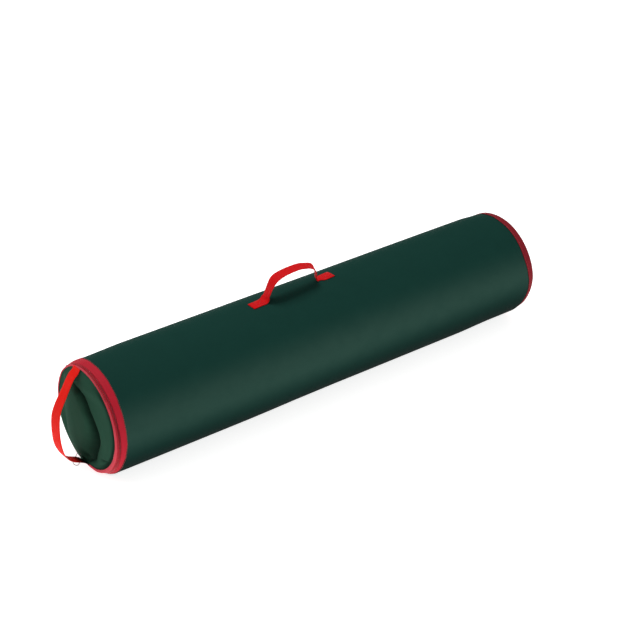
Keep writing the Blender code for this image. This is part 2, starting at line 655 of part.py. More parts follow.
def build_box_stitch(name, seat, along, skew):
    """A stitched box with a cross in it, lying on a sewn end of the carry handle."""
    half_length = CARRY_SEWN_LENGTH / 2 - STITCH_END_MARGIN
    half_width = WEBBING_WIDTH / 2 - STITCH_SIDE_MARGIN
    corners = [
        (-half_length, -half_width), (half_length, -half_width), (half_length, half_width), (-half_length, half_width)
    ]
    runs = [*zip(corners, corners[1:] + corners[:1]), (corners[0], corners[2]), (corners[1], corners[3])]
    sides = [(skew @ Vector((along, across, 0))).y for across in (-half_width, 0, half_width)]
    highest = max(facet_top(side, TUBE_RADIUS) for side in sides) - TUBE_RADIUS * FLATNESS
    low = highest + 2 * CLEARANCE + WEBBING_THICKNESS
    piece = None
    for index, ((x1, y1), (x2, y2)) in enumerate(runs):
        length = sqrt((x2 - x1) ** 2 + (y2 - y1) ** 2)
        thread = box((length + STITCH_WIDTH, STITCH_WIDTH, STITCH_HEIGHT))
        turn = Matrix.Rotation(atan2(y2 - y1, x2 - x1), 4, "Z")
        place = Matrix.Translation((along + (x1 + x2) / 2, (y1 + y2) / 2, low + STITCH_HEIGHT / 2))
        thread.transform(place @ turn)
        if piece is None:
            piece = add_piece(name, thread, RED_THREAD, seat)
        else:
            join(piece, add_cutter(f"{name}_run_{index}", thread, seat), f"run_{index}")


def end_route():
    """Middle line of the end handle, seen from the side, about the middle of the lid's face."""
    top = RIM_RADIUS - END_TOP_INSET
    fall = 2 * RIM_RADIUS - END_TOP_INSET - END_BOTTOM_INSET
    points = [Vector((-out * END_REACH, 0, top - down * fall)) for out, down in END_ROUTE_SHARES]
    return smooth_route(points, WEBBING_STEPS_PER_SPAN - 1)


def end_pivot_heights(route):
    """The two heights at which the end handle passes its fold line."""
    found = []
    for a, b in zip(route, route[1:]):
        if (a.x + END_PIVOT_REACH) * (b.x + END_PIVOT_REACH) < 0:
            found.append(a.z + (b.z - a.z) * (-END_PIVOT_REACH - a.x) / (b.x - a.x))
    return found


def build_end_handle(lid):
    """The webbing loop across the lid, with the two ends that are sewn into its edge."""
    seat = empty("end_handle_seat", Matrix.Translation((FOLD_OUTSET, END_SIDE_OFFSET - FOLD_SIDE, 0)), lid)
    pivot = empty("end_handle_pivot", Matrix.Translation((-END_PIVOT_REACH, 0, 0)), seat)
    route = end_route()
    top_cut, bottom_cut = end_pivot_heights(route)
    gap = CLEARANCE / 2
    on_binding = -BINDING_THICKNESS - 2 * CLEARANCE

    top = cut_away(webbing(route), (0, 0, top_cut + gap), (0, 0, -1))
    top = cut_away(top, (on_binding, 0, 0), (1, 0, 0))
    add_piece("end_handle_top_end", top, RED_WEBBING, seat)
    bottom = cut_away(webbing(route), (0, 0, bottom_cut - gap), (0, 0, 1))
    bottom = cut_away(bottom, (on_binding, 0, 0), (1, 0, 0))
    add_piece("end_handle_bottom_end", bottom, RED_WEBBING, seat)
    loop = cut_away(webbing(route), (0, 0, top_cut - gap), (0, 0, 1))
    loop = cut_away(loop, (0, 0, bottom_cut + gap), (0, 0, -1))
    add_piece("end_handle_loop", moved(loop, (END_PIVOT_REACH, 0, 0)), RED_WEBBING, pivot)


def main():
    for item in list(bpy.data.objects):
        bpy.data.objects.remove(item, do_unlink=True)
    axis = empty("tube_axis", Matrix.Translation((0, 0, AXIS_HEIGHT)))
    lid = empty("lid_hinge", Matrix.Translation((MOUTH_X - FOLD_OUTSET, FOLD_SIDE, 0)), axis)
    travel = empty("slider_travel", Matrix.Rotation(SLIDER_ANGLE - pi / 2, 4, "X"), axis)
    build_tube(axis)
    build_mouth(axis, lid)
    build_slider(travel)
    build_carry_handle(axis)
    build_end_handle(lid)


main()
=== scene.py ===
"""A gift wrap organizer: a long woven tube with a round lid that zips shut, and two webbing handles.

It is run as a script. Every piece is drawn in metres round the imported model, whose tube lies along X with
its mouth at -X, and each piece rides on one of that model's bodies. A place round the tube is an angle from
+Y, the rear, over the top to the front.
"""

from math import acos, atan2, ceil, cos, degrees, exp, pi, radians, sin, sqrt, tau

import bmesh
import bpy
from bpy.props import FloatProperty, FloatVectorProperty, PointerProperty
from mathutils import Matrix, Vector, noise
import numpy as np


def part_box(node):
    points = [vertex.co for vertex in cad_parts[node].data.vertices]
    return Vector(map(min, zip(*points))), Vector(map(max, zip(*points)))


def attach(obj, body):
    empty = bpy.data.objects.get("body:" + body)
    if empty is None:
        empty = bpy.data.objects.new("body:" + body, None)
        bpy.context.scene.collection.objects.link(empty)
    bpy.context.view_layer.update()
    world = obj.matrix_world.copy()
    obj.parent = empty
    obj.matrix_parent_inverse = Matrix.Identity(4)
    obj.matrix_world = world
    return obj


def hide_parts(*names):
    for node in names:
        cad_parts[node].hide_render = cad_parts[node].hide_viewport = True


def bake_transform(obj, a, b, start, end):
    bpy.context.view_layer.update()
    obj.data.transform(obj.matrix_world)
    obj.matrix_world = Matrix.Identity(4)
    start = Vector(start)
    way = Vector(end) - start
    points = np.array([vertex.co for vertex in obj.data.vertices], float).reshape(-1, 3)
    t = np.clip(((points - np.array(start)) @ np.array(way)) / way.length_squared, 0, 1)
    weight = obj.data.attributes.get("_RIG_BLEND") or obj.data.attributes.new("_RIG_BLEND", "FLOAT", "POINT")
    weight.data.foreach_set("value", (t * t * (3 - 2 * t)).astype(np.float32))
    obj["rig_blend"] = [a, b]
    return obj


bl_info = {
    "name": "Gift wrap organizer",
    "version": (1, 0, 0),
    "blender": (4, 5, 0),
    "location": "3D View > Sidebar > Organizer",
    "description": "Models a woven tube for rolls of gift wrap, with its zipped lid and webbing handles",
    "category": "Object",
}

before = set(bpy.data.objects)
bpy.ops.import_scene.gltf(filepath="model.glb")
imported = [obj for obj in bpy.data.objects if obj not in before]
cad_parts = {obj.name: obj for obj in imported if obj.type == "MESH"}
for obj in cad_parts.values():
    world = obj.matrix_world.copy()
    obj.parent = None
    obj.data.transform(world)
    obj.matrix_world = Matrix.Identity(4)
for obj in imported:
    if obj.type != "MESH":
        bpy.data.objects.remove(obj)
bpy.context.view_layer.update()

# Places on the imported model: its axis, its mouth and far end, the zip band and the lid's fold
AXIS_HEIGHT = (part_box("shell_fabric")[0].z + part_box("shell_fabric")[1].z) / 2
TUBE_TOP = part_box("shell_fabric")[1].z
AXIS = Vector((0, 0, AXIS_HEIGHT))
MOUTH_X = -0.510
TUBE_END = 0.5093
BAND_END = -0.4905
RIM_RADIUS = 0.1033
BAND_RADIUS = 0.10925
FOLD_SIDE = 0.0731
FOLD_BEND = 0.006

# Where the slider and its wire loop lie at rest
SLIDER_PLACE = Matrix((
    (0.955779, 0, -0.294086, -0.502),
    (0.110166, -0.927184, 0.358041, 0.039694),
    (-0.272672, -0.374606, -0.886183, 0.01102),
    (0, 0, 0, 1),
))
PULL_PLACE = Matrix((
    (0.601491, -0.783119, -0.157903, -0.502941),
    (-0.651227, -0.595133, 0.470872, 0.04084),
    (-0.462722, -0.180394, -0.867955, 0.008184),
    (0, 0, 0, 1),
))

# The seam's place round the tube, and the slope of the zip band
SEAM_ANGLE = radians(-45)
BAND_SLOPE = atan2(BAND_RADIUS - RIM_RADIUS, BAND_END - MOUTH_X)

# Small parts of the zip and its stitching
STITCH_RADIUS = 0.00028
TOOTH_RADIUS = 0.00042
TOOTH_LENGTH = 0.0021
TAPE_THICKNESS = 0.0008
PLATE_THICKNESS = 0.0012

# Where the lid's fold line meets its edge, and where the coils end beside the fold
LID_EDGE_RADIUS = 0.1045
COIL_SIDE = 0.0697
COIL_RADIUS = 0.1050

# The cloths: both faces of the lining, the far end's disc, and the lid's disc and its place
LINING_OUTSIDE = 0.10725
LINING_INSIDE = 0.10690
END_CLOTH_RADIUS = 0.1060
LID_CLOTH_RADIUS = 0.1016
LID_CLOTH_X = -0.5096

# Half width and height shares of the webbing's section
WEBBING_SECTION = (
    (-0.500, 0.00), (-0.494, 0.34), (-0.470, 0.47), (-0.300, 0.50), (-0.100, 0.50), (0.100, 0.50),
    (0.300, 0.50), (0.470, 0.47), (0.494, 0.34), (0.500, 0.00), (0.494, -0.34), (0.470, -0.47),
    (0.300, -0.50), (0.100, -0.50), (-0.100, -0.50), (-0.300, -0.50), (-0.470, -0.47), (-0.494, -0.34),
)

# How far aside the carry handle's far leg is sewn
FAR_SIDE = -0.0045

# Routes of both handles, as shares of their reach and height
CARRY_SHARES = (
    (-0.050, 0.000), (-0.016, 0.060), (0.026, 0.270), (0.078, 0.550), (0.136, 0.785), (0.210, 0.918),
    (0.319, 0.982), (0.464, 1.000), (0.609, 0.976), (0.745, 0.900), (0.855, 0.745), (0.905, 0.520),
    (0.915, 0.270), (0.922, 0.080), (0.955, 0.000),
)
LID_HANDLE_SHARES = (
    (-0.060, -0.034), (0.000, -0.022), (0.060, 0.004), (0.120, 0.020), (0.218, 0.042), (0.342, 0.082),
    (0.510, 0.142), (0.688, 0.206), (0.834, 0.268), (0.935, 0.335), (0.990, 0.408), (1.012, 0.490),
    (1.012, 0.582), (0.982, 0.671), (0.910, 0.756), (0.779, 0.833), (0.606, 0.885), (0.415, 0.915),
    (0.242, 0.938), (0.112, 0.963), (0.000, 1.000),
)

# How the lid's edge lies, by angle in degrees: outwards, along the tube, and the piping's inner radius
RIM_LINE = (
    (-180, 0.0026, 0.0000, 0.1030), (-160, 0.0022, 0.0000, 0.1006), (-135, 0.0018, 0.0000, 0.0986),
    (-110, 0.0004, 0.0000, 0.0978), (-95, -0.0012, 0.0006, 0.0966), (-78, -0.0028, 0.0016, 0.0960),
    (-45, -0.0032, 0.0028, 0.0962), (-10, -0.0028, 0.0036, 0.0969), (20, -0.0016, 0.0038, 0.0985),
    (50, 0.0002, 0.0032, 0.1014), (70, 0.0018, 0.0022, 0.1034), (90, 0.0030, 0.0012, 0.1048),
    (120, 0.0033, 0.0006, 0.1056), (150, 0.0032, 0.0002, 0.1050), (180, 0.0026, 0.0000, 0.1030),
)

# How far back the tube's hem lies, by angle in degrees, and how far past the band that fades out
HEM_LINE = (
    (-180, 0.0036), (-165, 0.0012), (-150, -0.0006), (-120, -0.0012), (-90, 0.0), (-60, 0.0030),
    (-30, 0.0080), (0, 0.0120), (30, 0.0145), (60, 0.0140), (75, 0.0100), (90, 0.0083), (110, 0.0080),
    (130, 0.0070), (150, 0.0054), (165, 0.0045), (180, 0.0036),
)
HEM_REACH = 0.035

# How far the far end's binding starts from its full width, by angle in degrees, and its places along the tube
BINDING_LINE = (
    (-180, 0.0045), (-165, 0.0065), (-150, 0.0070), (-120, 0.0060), (-90, 0.0040), (-60, 0.0020),
    (0, 0.0020), (40, 0.0060), (60, 0.0080), (80, 0.0045), (100, 0.0015), (120, 0.0010), (150, 0.0000),
    (170, 0.0025), (180, 0.0045),
)
BINDING_START = 0.4950
BINDING_END = 0.5110
WALL_END = 0.4920

# How far the far end's bottom leans out
END_LEAN = 0.0075

# The lid's long crease: side and height from the middle of the lid
CREASE = [
    Vector(place) for place in (
        (0.0270, 0.0680), (0.0120, 0.0620), (-0.0020, 0.0545), (-0.0120, 0.0430), (-0.0205, 0.0310),
        (-0.0310, 0.0190), (-0.0385, 0.0080), (-0.0445, -0.0060), (-0.0460, -0.0210), (-0.0425, -0.0350),
        (-0.0360, -0.0480), (-0.0310, -0.0610), (-0.0260, -0.0750), (-0.0065, -0.0920),
    )
]

# Lights: name, place, aim, size and power
STUDIO_LIGHTS = (
    ("key_light", (-0.1, 0.75, 2.3), (0, 0, 0.1), 0.8, 26),
    ("front_light", (0.7, -2.7, 0.9), (0.0, 0, 0.1), 1.6, 10),
    ("lid_light", (-2.3, 1.1, 1.3), (-0.5, 0, 0.1), 0.8, 6),
)
SKY_STRENGTH = 0.42
FLOOR_GLOW = 0.80

# The camera at the photograph's view
CAMERA_PLACE = (-1.9686, -2.5879, 1.9819)
CAMERA_AZIMUTH = radians(-37.77)
CAMERA_ELEVATION = radians(29.49)
CAMERA_LENS = 106.39


def length_property(name, description, default):
    return FloatProperty(name=name, description=description, default=default, unit="LENGTH")


def colour_property(name, description, default):
    return FloatVectorProperty(
        name=name, description=description, default=default, subtype="COLOR", size=3, min=0, max=1
    )


class OrganizerSizes(bpy.types.PropertyGroup):
    """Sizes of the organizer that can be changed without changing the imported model."""

    tube_radius: length_property("Tube radius", "Radius of the woven tube's outside", 0.1092)
    cloth_thickness: length_property("Cloth thickness", "Thickness of the woven cloth", 0.0006)
    hem_start: length_property("Hem start", "Place along the tube where its cloth begins", -0.4942)
    webbing_width: length_property("Webbing width", "Width of both handles' webbing", 0.025)
    webbing_thickness: length_property("Webbing thickness", "Thickness of the webbing", 0.0014)
    tooth_pitch: length_property("Tooth pitch", "Distance between two turns of the zip's coil", 0.0016)
    stitch_pitch: length_property("Stitch pitch", "Distance between two stitches", 0.0034)
    weave_pitch: length_property("Weave pitch", "Distance between two threads of the cloth", 0.0007)


class OrganizerColours(bpy.types.PropertyGroup):
    """Colours of the organizer's cloths and fittings."""

    tube: colour_property("Tube cloth", "Colour of the woven tube", (0.009, 0.042, 0.033))
    lid: colour_property("Lid cloth", "Colour of the round lid", (0.022, 0.068, 0.043))
    lining: colour_property("Lining", "Colour of the thin cloth inside", (0.020, 0.055, 0.042))
    tape: colour_property("Zip tape", "Colour of the zip's woven tapes", (0.47, 0.015, 0.031))
    piping: colour_property("Lid piping", "Colour of the piping round the lid", (0.60, 0.050, 0.075))
    end_piping: colour_property(
        "End binding", "Colour of the binding round the far end", (0.22, 0.013, 0.020)
    )
    webbing: colour_property("Carry handle", "Colour of the carry handle's webbing", (0.62, 0.005, 0.007))
    lid_webbing: colour_property("Lid handle", "Colour of the lid handle's webbing", (0.80, 0.012, 0.006))
    thread: colour_property("Thread", "Colour of the sewing thread", (0.50, 0.014, 0.024))
    coil: colour_property("Coil", "Colour of the zip's nylon coil", (0.55, 0.016, 0.034))
    metal: colour_property("Metal", "Colour of the slider and its wire", (0.22, 0.215, 0.215))
    sheet: colour_property(
        "Plastic sheet", "Colour of the sheet that keeps the tube round", (0.62, 0.64, 0.64)
    )
    floor: colour_property("Floor", "Colour of the floor", (0.86, 0.86, 0.85))


class Wire:
    """A socket of a finish's nodes, on which Python's operators add Math nodes."""

    def __init__(self, finish, socket):
        self.finish = finish
        self.socket = socket

    def maths(self, operation, *values):
        return self.finish.node("ShaderNodeMath", {"operation": operation}, dict(enumerate(values)))

    def __add__(self, other):
        return self.maths("ADD", self, other)

    def __sub__(self, other):
        return self.maths("SUBTRACT", self, other)

    def __rsub__(self, other):
        return self.maths("SUBTRACT", other, self)

    def __mul__(self, other):
        return self.maths("MULTIPLY", self, other)

    def __truediv__(self, other):
        return self.maths("DIVIDE", self, other)

    def __abs__(self):
        return self.maths("ABSOLUTE", self)

    __radd__ = __add__
    __rmul__ = __mul__

    def wave(self):
        """The sine of a number of turns."""
        turns = self * tau
        return turns.maths("SINE", turns)

    def whole(self):
        return self.maths("FLOOR", self)

    def remainder(self, size):
        return self.maths("FLOORED_MODULO", self, size)

    def between(self, low, high):
        """0 at low, 1 at high, and smooth between them."""
        return self.finish.node(
            "ShaderNodeMapRange",
            {"interpolation_type": "SMOOTHSTEP"},
            {"Value": self, "From Min": low, "From Max": high},
        )


class Finish:
    """A material built from shader maths. Its patterns follow the piece's flat cloth or its place."""

    def __init__(self, name, colour, roughness, **fixed):
        self.material = bpy.data.materials.new(name)
        self.material.use_nodes = True
        self.tree = self.material.node_tree
        self.shader = self.tree.nodes["Principled BSDF"]
        self.colour = tuple(colour)
        self.shader.inputs["Base Color"].default_value = (*colour, 1)
        self.shader.inputs["Roughness"].default_value = roughness
        for socket, value in fixed.items():
            self.shader.inputs[socket.replace("_", " ")].default_value = value

    def node(self, kind, settings, inputs, output=0):
        made = self.tree.nodes.new(kind)
        for name, value in settings.items():
            setattr(made, name, value)
        for key, value in inputs.items():
            if isinstance(value, Wire):
                self.tree.links.new(value.socket, made.inputs[key])
            else:
                made.inputs[key].default_value = value
        return Wire(self, made.outputs[output])

    def flat(self):
        """Across and along the flat cloth, in metres."""
        point = self.node("ShaderNodeUVMap", {"uv_map": "flat"}, {})
        return [self.node("ShaderNodeSeparateXYZ", {}, {0: point}, axis) for axis in ("X", "Y")]

    def place(self, *axes):
        """Places in metres, in the piece's own coordinates."""
        point = self.node("ShaderNodeTexCoord", {}, {}, "Object")
        return [self.node("ShaderNodeSeparateXYZ", {}, {0: point}, axis) for axis in axes]

    def cloud(self, size, detail=2.0, stretch=(1, 1, 1)):
        """Soft noise with blobs of about this size in metres."""
        place = self.node("ShaderNodeTexCoord", {}, {}, "Object")
        point = self.node("ShaderNodeMapping", {}, {"Vector": place, "Scale": stretch})
        return self.node("ShaderNodeTexNoise", {}, {"Vector": point, "Scale": 1 / size, "Detail": detail})

    def mix(self, factor, first, second):
        return self.node("ShaderNodeMix", {"data_type": "RGBA"}, {0: factor, 6: first, 7: second}, 2)

    def shade(self, share):
        """The finish's own colour, made lighter or darker."""
        return (*(min(1, channel * share) for channel in self.colour), 1)

    def paint(self, socket, value):
        self.tree.links.new(value.socket, self.shader.inputs[socket])

    def relief(self, height, depth, strength=1.0):
        """Raises the surface by the height, from 0 to 1, times the depth in metres."""
        inputs = {"Height": height, "Distance": depth, "Strength": strength}
        self.paint("Normal", self.node("ShaderNodeBump", {}, inputs))


def plain_weave(finish, pitch):
    """Threads that pass over and under each other: 1 on top of a thread and 0 between threads."""
    across, along = finish.flat()
    column = across / pitch
    row = along / pitch
    over = (column.whole() + row.whole()).remainder(2)
    warp = abs((column / 2).wave())
    weft = abs((row / 2).wave())
    return over * warp + (1 - over) * weft


def woven_finish(name, colour, roughness, pitch, depth, mottle=0.12, painted_sheen=0.0, painted_fold_shade=0.0, **fixed):
    """Plain woven cloth: threads, uneven dye and slubs, with a painted sheen along its front, painted shade
    towards its underside, and painted shade in its folds.
    """
    finish = Finish(name, colour, roughness, **fixed)
    threads = plain_weave(finish, pitch)
    dye = finish.cloud(0.035, 3.0)
    slub = finish.cloud(0.004, 2.0, (0.25, 1, 1))
    tone = dye * 0.6 + slub * 0.25 + threads * 0.15
    paint = finish.mix(tone, finish.shade(1 - mottle), finish.shade(1 + mottle))
    if painted_sheen:
        # Painted sheen: a lighter, greyer band along the tube's lower front, standing in for the light of the
        # floor reflected there.
        length, side, height = finish.place("X", "Y", "Z")
        raised = height - length.between(-0.2, 0.45) * 0.011
        front = side.between(0.02, -0.07) * raised.between(0.056, 0.118) * (1 - height.between(0.13, 0.19))
        # Painted shade: the cloth darkens towards its underside, standing in for the shade near the floor.
        under = 1 - raised.between(0.020, 0.123)
        painted_sheen_colour = tuple(channel * 1.2 + painted_sheen * share for channel, share in zip(finish.colour, (1, 1, 0.75)))
        paint = finish.mix(front * (0.75 + dye * 0.5), paint, (*painted_sheen_colour, 1))
        paint = finish.mix(under * 0.95, paint, finish.shade(0.2))
    # Painted shade in the lid's creases and hollows, and beside its piping.
    if painted_fold_shade:
        fold_shade_mask = finish.node("ShaderNodeAttribute", {"attribute_name": "fold_shade_mask"}, {}, "Fac")
        paint = finish.mix(fold_shade_mask * painted_fold_shade, paint, finish.shade(0.18))
    finish.paint("Base Color", paint)
    finish.paint("Roughness", roughness - 0.06 + slub * 0.08 + (1 - threads) * 0.06)
    finish.relief(threads * 0.7 + slub * 0.3, depth, 0.6)
    return finish.material


def ribbed_finish(name, colour, roughness, pitch, depth, lean=0.0, mottle=0.14, painted_low_shade=False, **fixed):
    """Narrow woven tape: ribs across it, which lean to a herringbone where lean isn't zero."""
    finish = Finish(name, colour, roughness, **fixed)
    across, along = finish.flat()
    slant = abs(((across / 0.006).remainder(1)) - 0.5) * lean
    rib = abs(((along / pitch + slant) / 2).wave())
    fibre = finish.cloud(0.0009, 2.0)
    dye = finish.cloud(0.02, 2.0)
    tone = dye * 0.45 + rib * 0.35 + fibre * 0.2
    paint = finish.mix(tone, finish.shade(1 - mottle), finish.shade(1 + mottle))
    # Painted shade on the handle's lower run, which lies in the shadow of its upper run and the lid.
    if painted_low_shade:
        length, height = finish.place("X", "Z")
        low = (1 - height.between(0.021, 0.031)) * length.between(-0.565, -0.554)
        paint = finish.mix(low, paint, finish.shade(0.043))
    finish.paint("Base Color", paint)
    finish.paint("Roughness", roughness - 0.04 + fibre * 0.12 - rib * 0.04)
    finish.relief(rib * 0.75 + fibre * 0.25, depth, 0.7)
    return finish.material


def thread_finish(name, colour):
    finish = Finish(name, colour, 0.55, Sheen_Weight=0.25)
    twist = finish.cloud(0.0006, 1.0)
    finish.paint("Base Color", finish.mix(twist, finish.shade(0.75), finish.shade(1.15)))
    finish.relief(twist, 0.0001, 0.6)
    return finish.material


def metal_finish(name, colour):
    finish = Finish(name, colour, 0.34, Metallic=1.0)
    rub = finish.cloud(0.002, 4.0)
    scratch = finish.cloud(0.0015, 3.0, (1, 9, 1))
    finish.paint("Base Color", finish.mix(rub, finish.shade(0.72), finish.shade(1.1)))
    finish.paint("Roughness", 0.24 + rub * 0.16 + scratch * 0.10)
    finish.relief(scratch, 0.00003, 0.5)
    return finish.material


def coil_finish(name, colour):
    finish = Finish(name, colour, 0.32, Coat_Weight=0.2)
    wear = finish.cloud(0.012, 2.0)
    finish.paint("Base Color", finish.mix(wear, finish.shade(0.8), finish.shade(1.25)))
    finish.paint("Roughness", 0.26 + wear * 0.14)
    return finish.material


def plastic_finish(name, colour):
    finish = Finish(name, colour, 0.42)
    haze = finish.cloud(0.03, 3.0)
    scuff = finish.cloud(0.006, 4.0, (0.15, 1, 1))
    finish.paint("Base Color", finish.mix(haze, finish.shade(0.9), finish.shade(1.08)))
    finish.paint("Roughness", 0.32 + scuff * 0.22)
    finish.relief(scuff, 0.00005, 0.4)
    return finish.material


def finish_named(name):
    """The material of that name, made the first time that a piece needs it."""
    if name in bpy.data.materials:
        return bpy.data.materials[name]
    pitch = bpy.context.scene.organizer_sizes.weave_pitch
    colours = bpy.context.scene.organizer_colours
    webbing_weave = {"roughness": 0.55, "pitch": 0.0022, "depth": 0.0004, "lean": 2.4}
    makers = {
        # The tube's cloth gets a painted sheen along its lower front and painted shade towards its underside.
        "tube_cloth": lambda: woven_finish(
            name, colours.tube, 0.60, pitch, depth=0.00012, mottle=0.10, painted_sheen=0.0138,
            Specular_IOR_Level=0.008,
        ),
        # The lid's cloth gets painted shade in its folds and beside its piping.
        "lid_cloth": lambda: woven_finish(
            name, colours.lid, 0.65, pitch, depth=0.00012, mottle=0.10, painted_fold_shade=0.92,
            Specular_IOR_Level=0.01,
        ),
        "lining_cloth": lambda: woven_finish(name, colours.lining, 0.75, pitch=0.0005, depth=0.00008),
        "zip_tape": lambda: ribbed_finish(
            name, colours.tape, 0.58, pitch=0.0009, depth=0.00015, lean=2.0, Specular_IOR_Level=0.06
        ),
        "lid_piping": lambda: ribbed_finish(
            name, colours.piping, 0.60, pitch=0.0011, depth=0.0002, Specular_IOR_Level=0.10
        ),
        "end_binding": lambda: ribbed_finish(
            name, colours.end_piping, 0.62, pitch=0.0011, depth=0.0002, Specular_IOR_Level=0.06
        ),
        "carry_webbing": lambda: ribbed_finish(
            name, colours.webbing, **webbing_weave, Specular_IOR_Level=0.05
        ),
        # The lid handle's lower run gets painted shade.
        "lid_webbing": lambda: ribbed_finish(
            name, colours.lid_webbing, **webbing_weave, painted_low_shade=True, Specular_IOR_Level=0.05
        ),
        "thread": lambda: thread_finish(name, colours.thread),
        "nylon_coil": lambda: coil_finish(name, colours.coil),
        "slider_metal": lambda: metal_finish(name, colours.metal),
        "plastic_sheet": lambda: plastic_finish(name, colours.sheet),
    }
    return makers[name]()


def new_piece(name, bm, finish, body=None, slot=None, replaces=()):
    """Makes the mesh a piece of the organizer, riding on a body."""
    mesh = bpy.data.meshes.new(name)
    bm.to_mesh(mesh)
    bm.free()
    mesh.materials.append(finish_named(finish))
    mesh.shade_smooth()
    piece = bpy.data.objects.new(name, mesh)
    bpy.context.scene.collection.objects.link(piece)
    if replaces:
        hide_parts(*replaces)
    if body:
        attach(piece, body)
    return piece


def keep_node(name, finish):
    """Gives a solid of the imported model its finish."""
    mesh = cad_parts[name].data
    mesh.materials.clear()
    mesh.materials.append(finish_named(finish))


def smooth_share(value, low, high):
    """0 at low, 1 at high, and smooth between them."""
    share = min(1, max(0, (value - low) / (high - low)))
    return share * share * (3 - 2 * share)


def round_axis(x, radius, angle):
    """The place along the tube at that distance and angle round its axis."""
    return Vector((x, radius * cos(angle), AXIS_HEIGHT + radius * sin(angle)))


def angle_of(point):
    return atan2(point.z - AXIS_HEIGHT, point.y)


def radius_of(point):
    return sqrt(point.y**2 + (point.z - AXIS_HEIGHT) ** 2)


def move_out(vert, distance):
    """Moves a vertex away from the tube's axis."""
    angle = angle_of(vert.co)
    vert.co.y += distance * cos(angle)
    vert.co.z += distance * sin(angle)


def band_radius(x):
    """Radius of the zip band's surface, which widens from the rim to the tube."""
    share = (x - MOUTH_X) / (BAND_END - MOUTH_X)
    return RIM_RADIUS + (BAND_RADIUS - RIM_RADIUS) * min(1, share)


def ripple_at(along, angle, turns, shift=0):
    """Soft noise that runs along the tube and round it without a seam."""
    return noise.noise(Vector((along, cos(angle) * turns, sin(angle) * turns + shift)))


def line_at(table, angle, column):
    """A value of a table of places round the tube, at an angle in radians."""
    turn = degrees((angle + pi) % tau - pi)
    for before, after in zip(table, table[1:]):
        if turn <= after[0]:
            share = smooth_share(turn, before[0], after[0])
            return before[column] + (after[column] - before[column]) * share
    return table[-1][column]


def turned(profile, steps, start=SEAM_ANGLE, sweep=tau, closed=True):
    """The profile's places (x, radius) spun round the tube's axis, as a closed body or as one sheet."""
    bm = bmesh.new()
    across = bm.verts.layers.float.new("across")
    verts = [bm.verts.new(round_axis(x, radius, start)) for x, radius in profile]
    walked = 0
    for before, vert in zip([verts[0], *verts], verts):
        walked += (vert.co - before.co).length
        vert[across] = walked
    edges = [bm.edges.new(pair) for pair in zip(verts, verts[1:])]
    if closed:
        edges.append(bm.edges.new((verts[-1], verts[0])))
    whole = abs(sweep - tau) < 1e-6
    bmesh.ops.spin(
        bm, geom=verts + edges, cent=AXIS, axis=(1, 0, 0), angle=sweep, steps=steps, use_merge=whole
    )
    bmesh.ops.remove_doubles(bm, verts=bm.verts[:], dist=1e-6)
    if closed and not whole:
        bmesh.ops.holes_fill(bm, edges=[edge for edge in bm.edges if edge.is_boundary], sides=0)
    bmesh.ops.recalc_face_normals(bm, faces=bm.faces[:])
    return bm


def disc(x, radius, rings, steps):
    """A flat open disc across the tube's axis."""
    return turned([(x, radius * ring / rings) for ring in range(rings + 1)], steps, closed=False)


def face_along(bm, direction):
    """Turns a disc's faces so that they look along the tube: 1 for its far end and -1 for its mouth."""
    if sum(face.normal.x for face in bm.faces) * direction < 0:
        bmesh.ops.reverse_faces(bm, faces=bm.faces[:])


def lay_disc(bm):
    """Writes the flat cloth of a disc: its side and its height."""
    flat = bm.loops.layers.uv.new("flat")
    for face in bm.faces:
        for loop in face.loops:
            loop[flat].uv = (loop.vert.co.y, loop.vert.co.z)


def lay_round(bm):
    """Writes the flat cloth of a turned piece: across its profile, and along its way round the tube."""
    across = bm.verts.layers.float["across"]
    flat = bm.loops.layers.uv.new("flat")
    for face in bm.faces:
        middle = (angle_of(face.calc_center_median()) - SEAM_ANGLE) % tau
        for loop in face.loops:
            turn = (angle_of(loop.vert.co) - SEAM_ANGLE - middle + pi) % tau - pi
            loop[flat].uv = (loop.vert[across], (middle + turn) * BAND_RADIUS)
    return bm


def seat_round(bm, x, radius, angle, tilt):
    """Takes a small shape from the origin to a place round the tube, tilted along the tube."""
    turn = Matrix.Rotation(angle - pi / 2, 4, "X")
    lift = Matrix.Translation((x, 0, radius))
    bm.transform(Matrix.Translation(AXIS) @ turn @ lift @ Matrix.Rotation(tilt, 4, "Y"))


def repeat_round(bm, sweep, steps):
    """Copies the whole shape round the tube's axis."""
    geom = bm.verts[:] + bm.edges[:] + bm.faces[:]
    bmesh.ops.spin(
        bm, geom=geom, cent=AXIS, axis=(1, 0, 0), angle=sweep, steps=steps, use_duplicate=True
    )


def bevel_edges(bm, edges, offset, segments):
    bmesh.ops.bevel(
        bm, geom=edges, offset=offset, segments=segments, affect="EDGES", profile=0.5, material=-1
    )


def stitch_row(name, x, radius, start, sweep, body, tilt=0.0, **named):
    """A row of stitches round the tube."""
    pitch = bpy.context.scene.organizer_sizes.stitch_pitch
    count = ceil(abs(sweep) * radius / pitch)
    bm = bmesh.new()
    bmesh.ops.create_uvsphere(bm, u_segments=6, v_segments=4, radius=1)
    bmesh.ops.scale(bm, vec=(STITCH_RADIUS * 1.2, pitch * 0.40, STITCH_RADIUS), verts=bm.verts)
    seat_round(bm, x, radius, start, tilt)
    repeat_round(bm, sweep, count)
    if abs(sweep - tau) < 1e-6:
        bmesh.ops.remove_doubles(bm, verts=bm.verts[:], dist=1e-6)
    return new_piece(name, settle_rim(shape_end(bm)), "thread", body, "red_thread", **named)


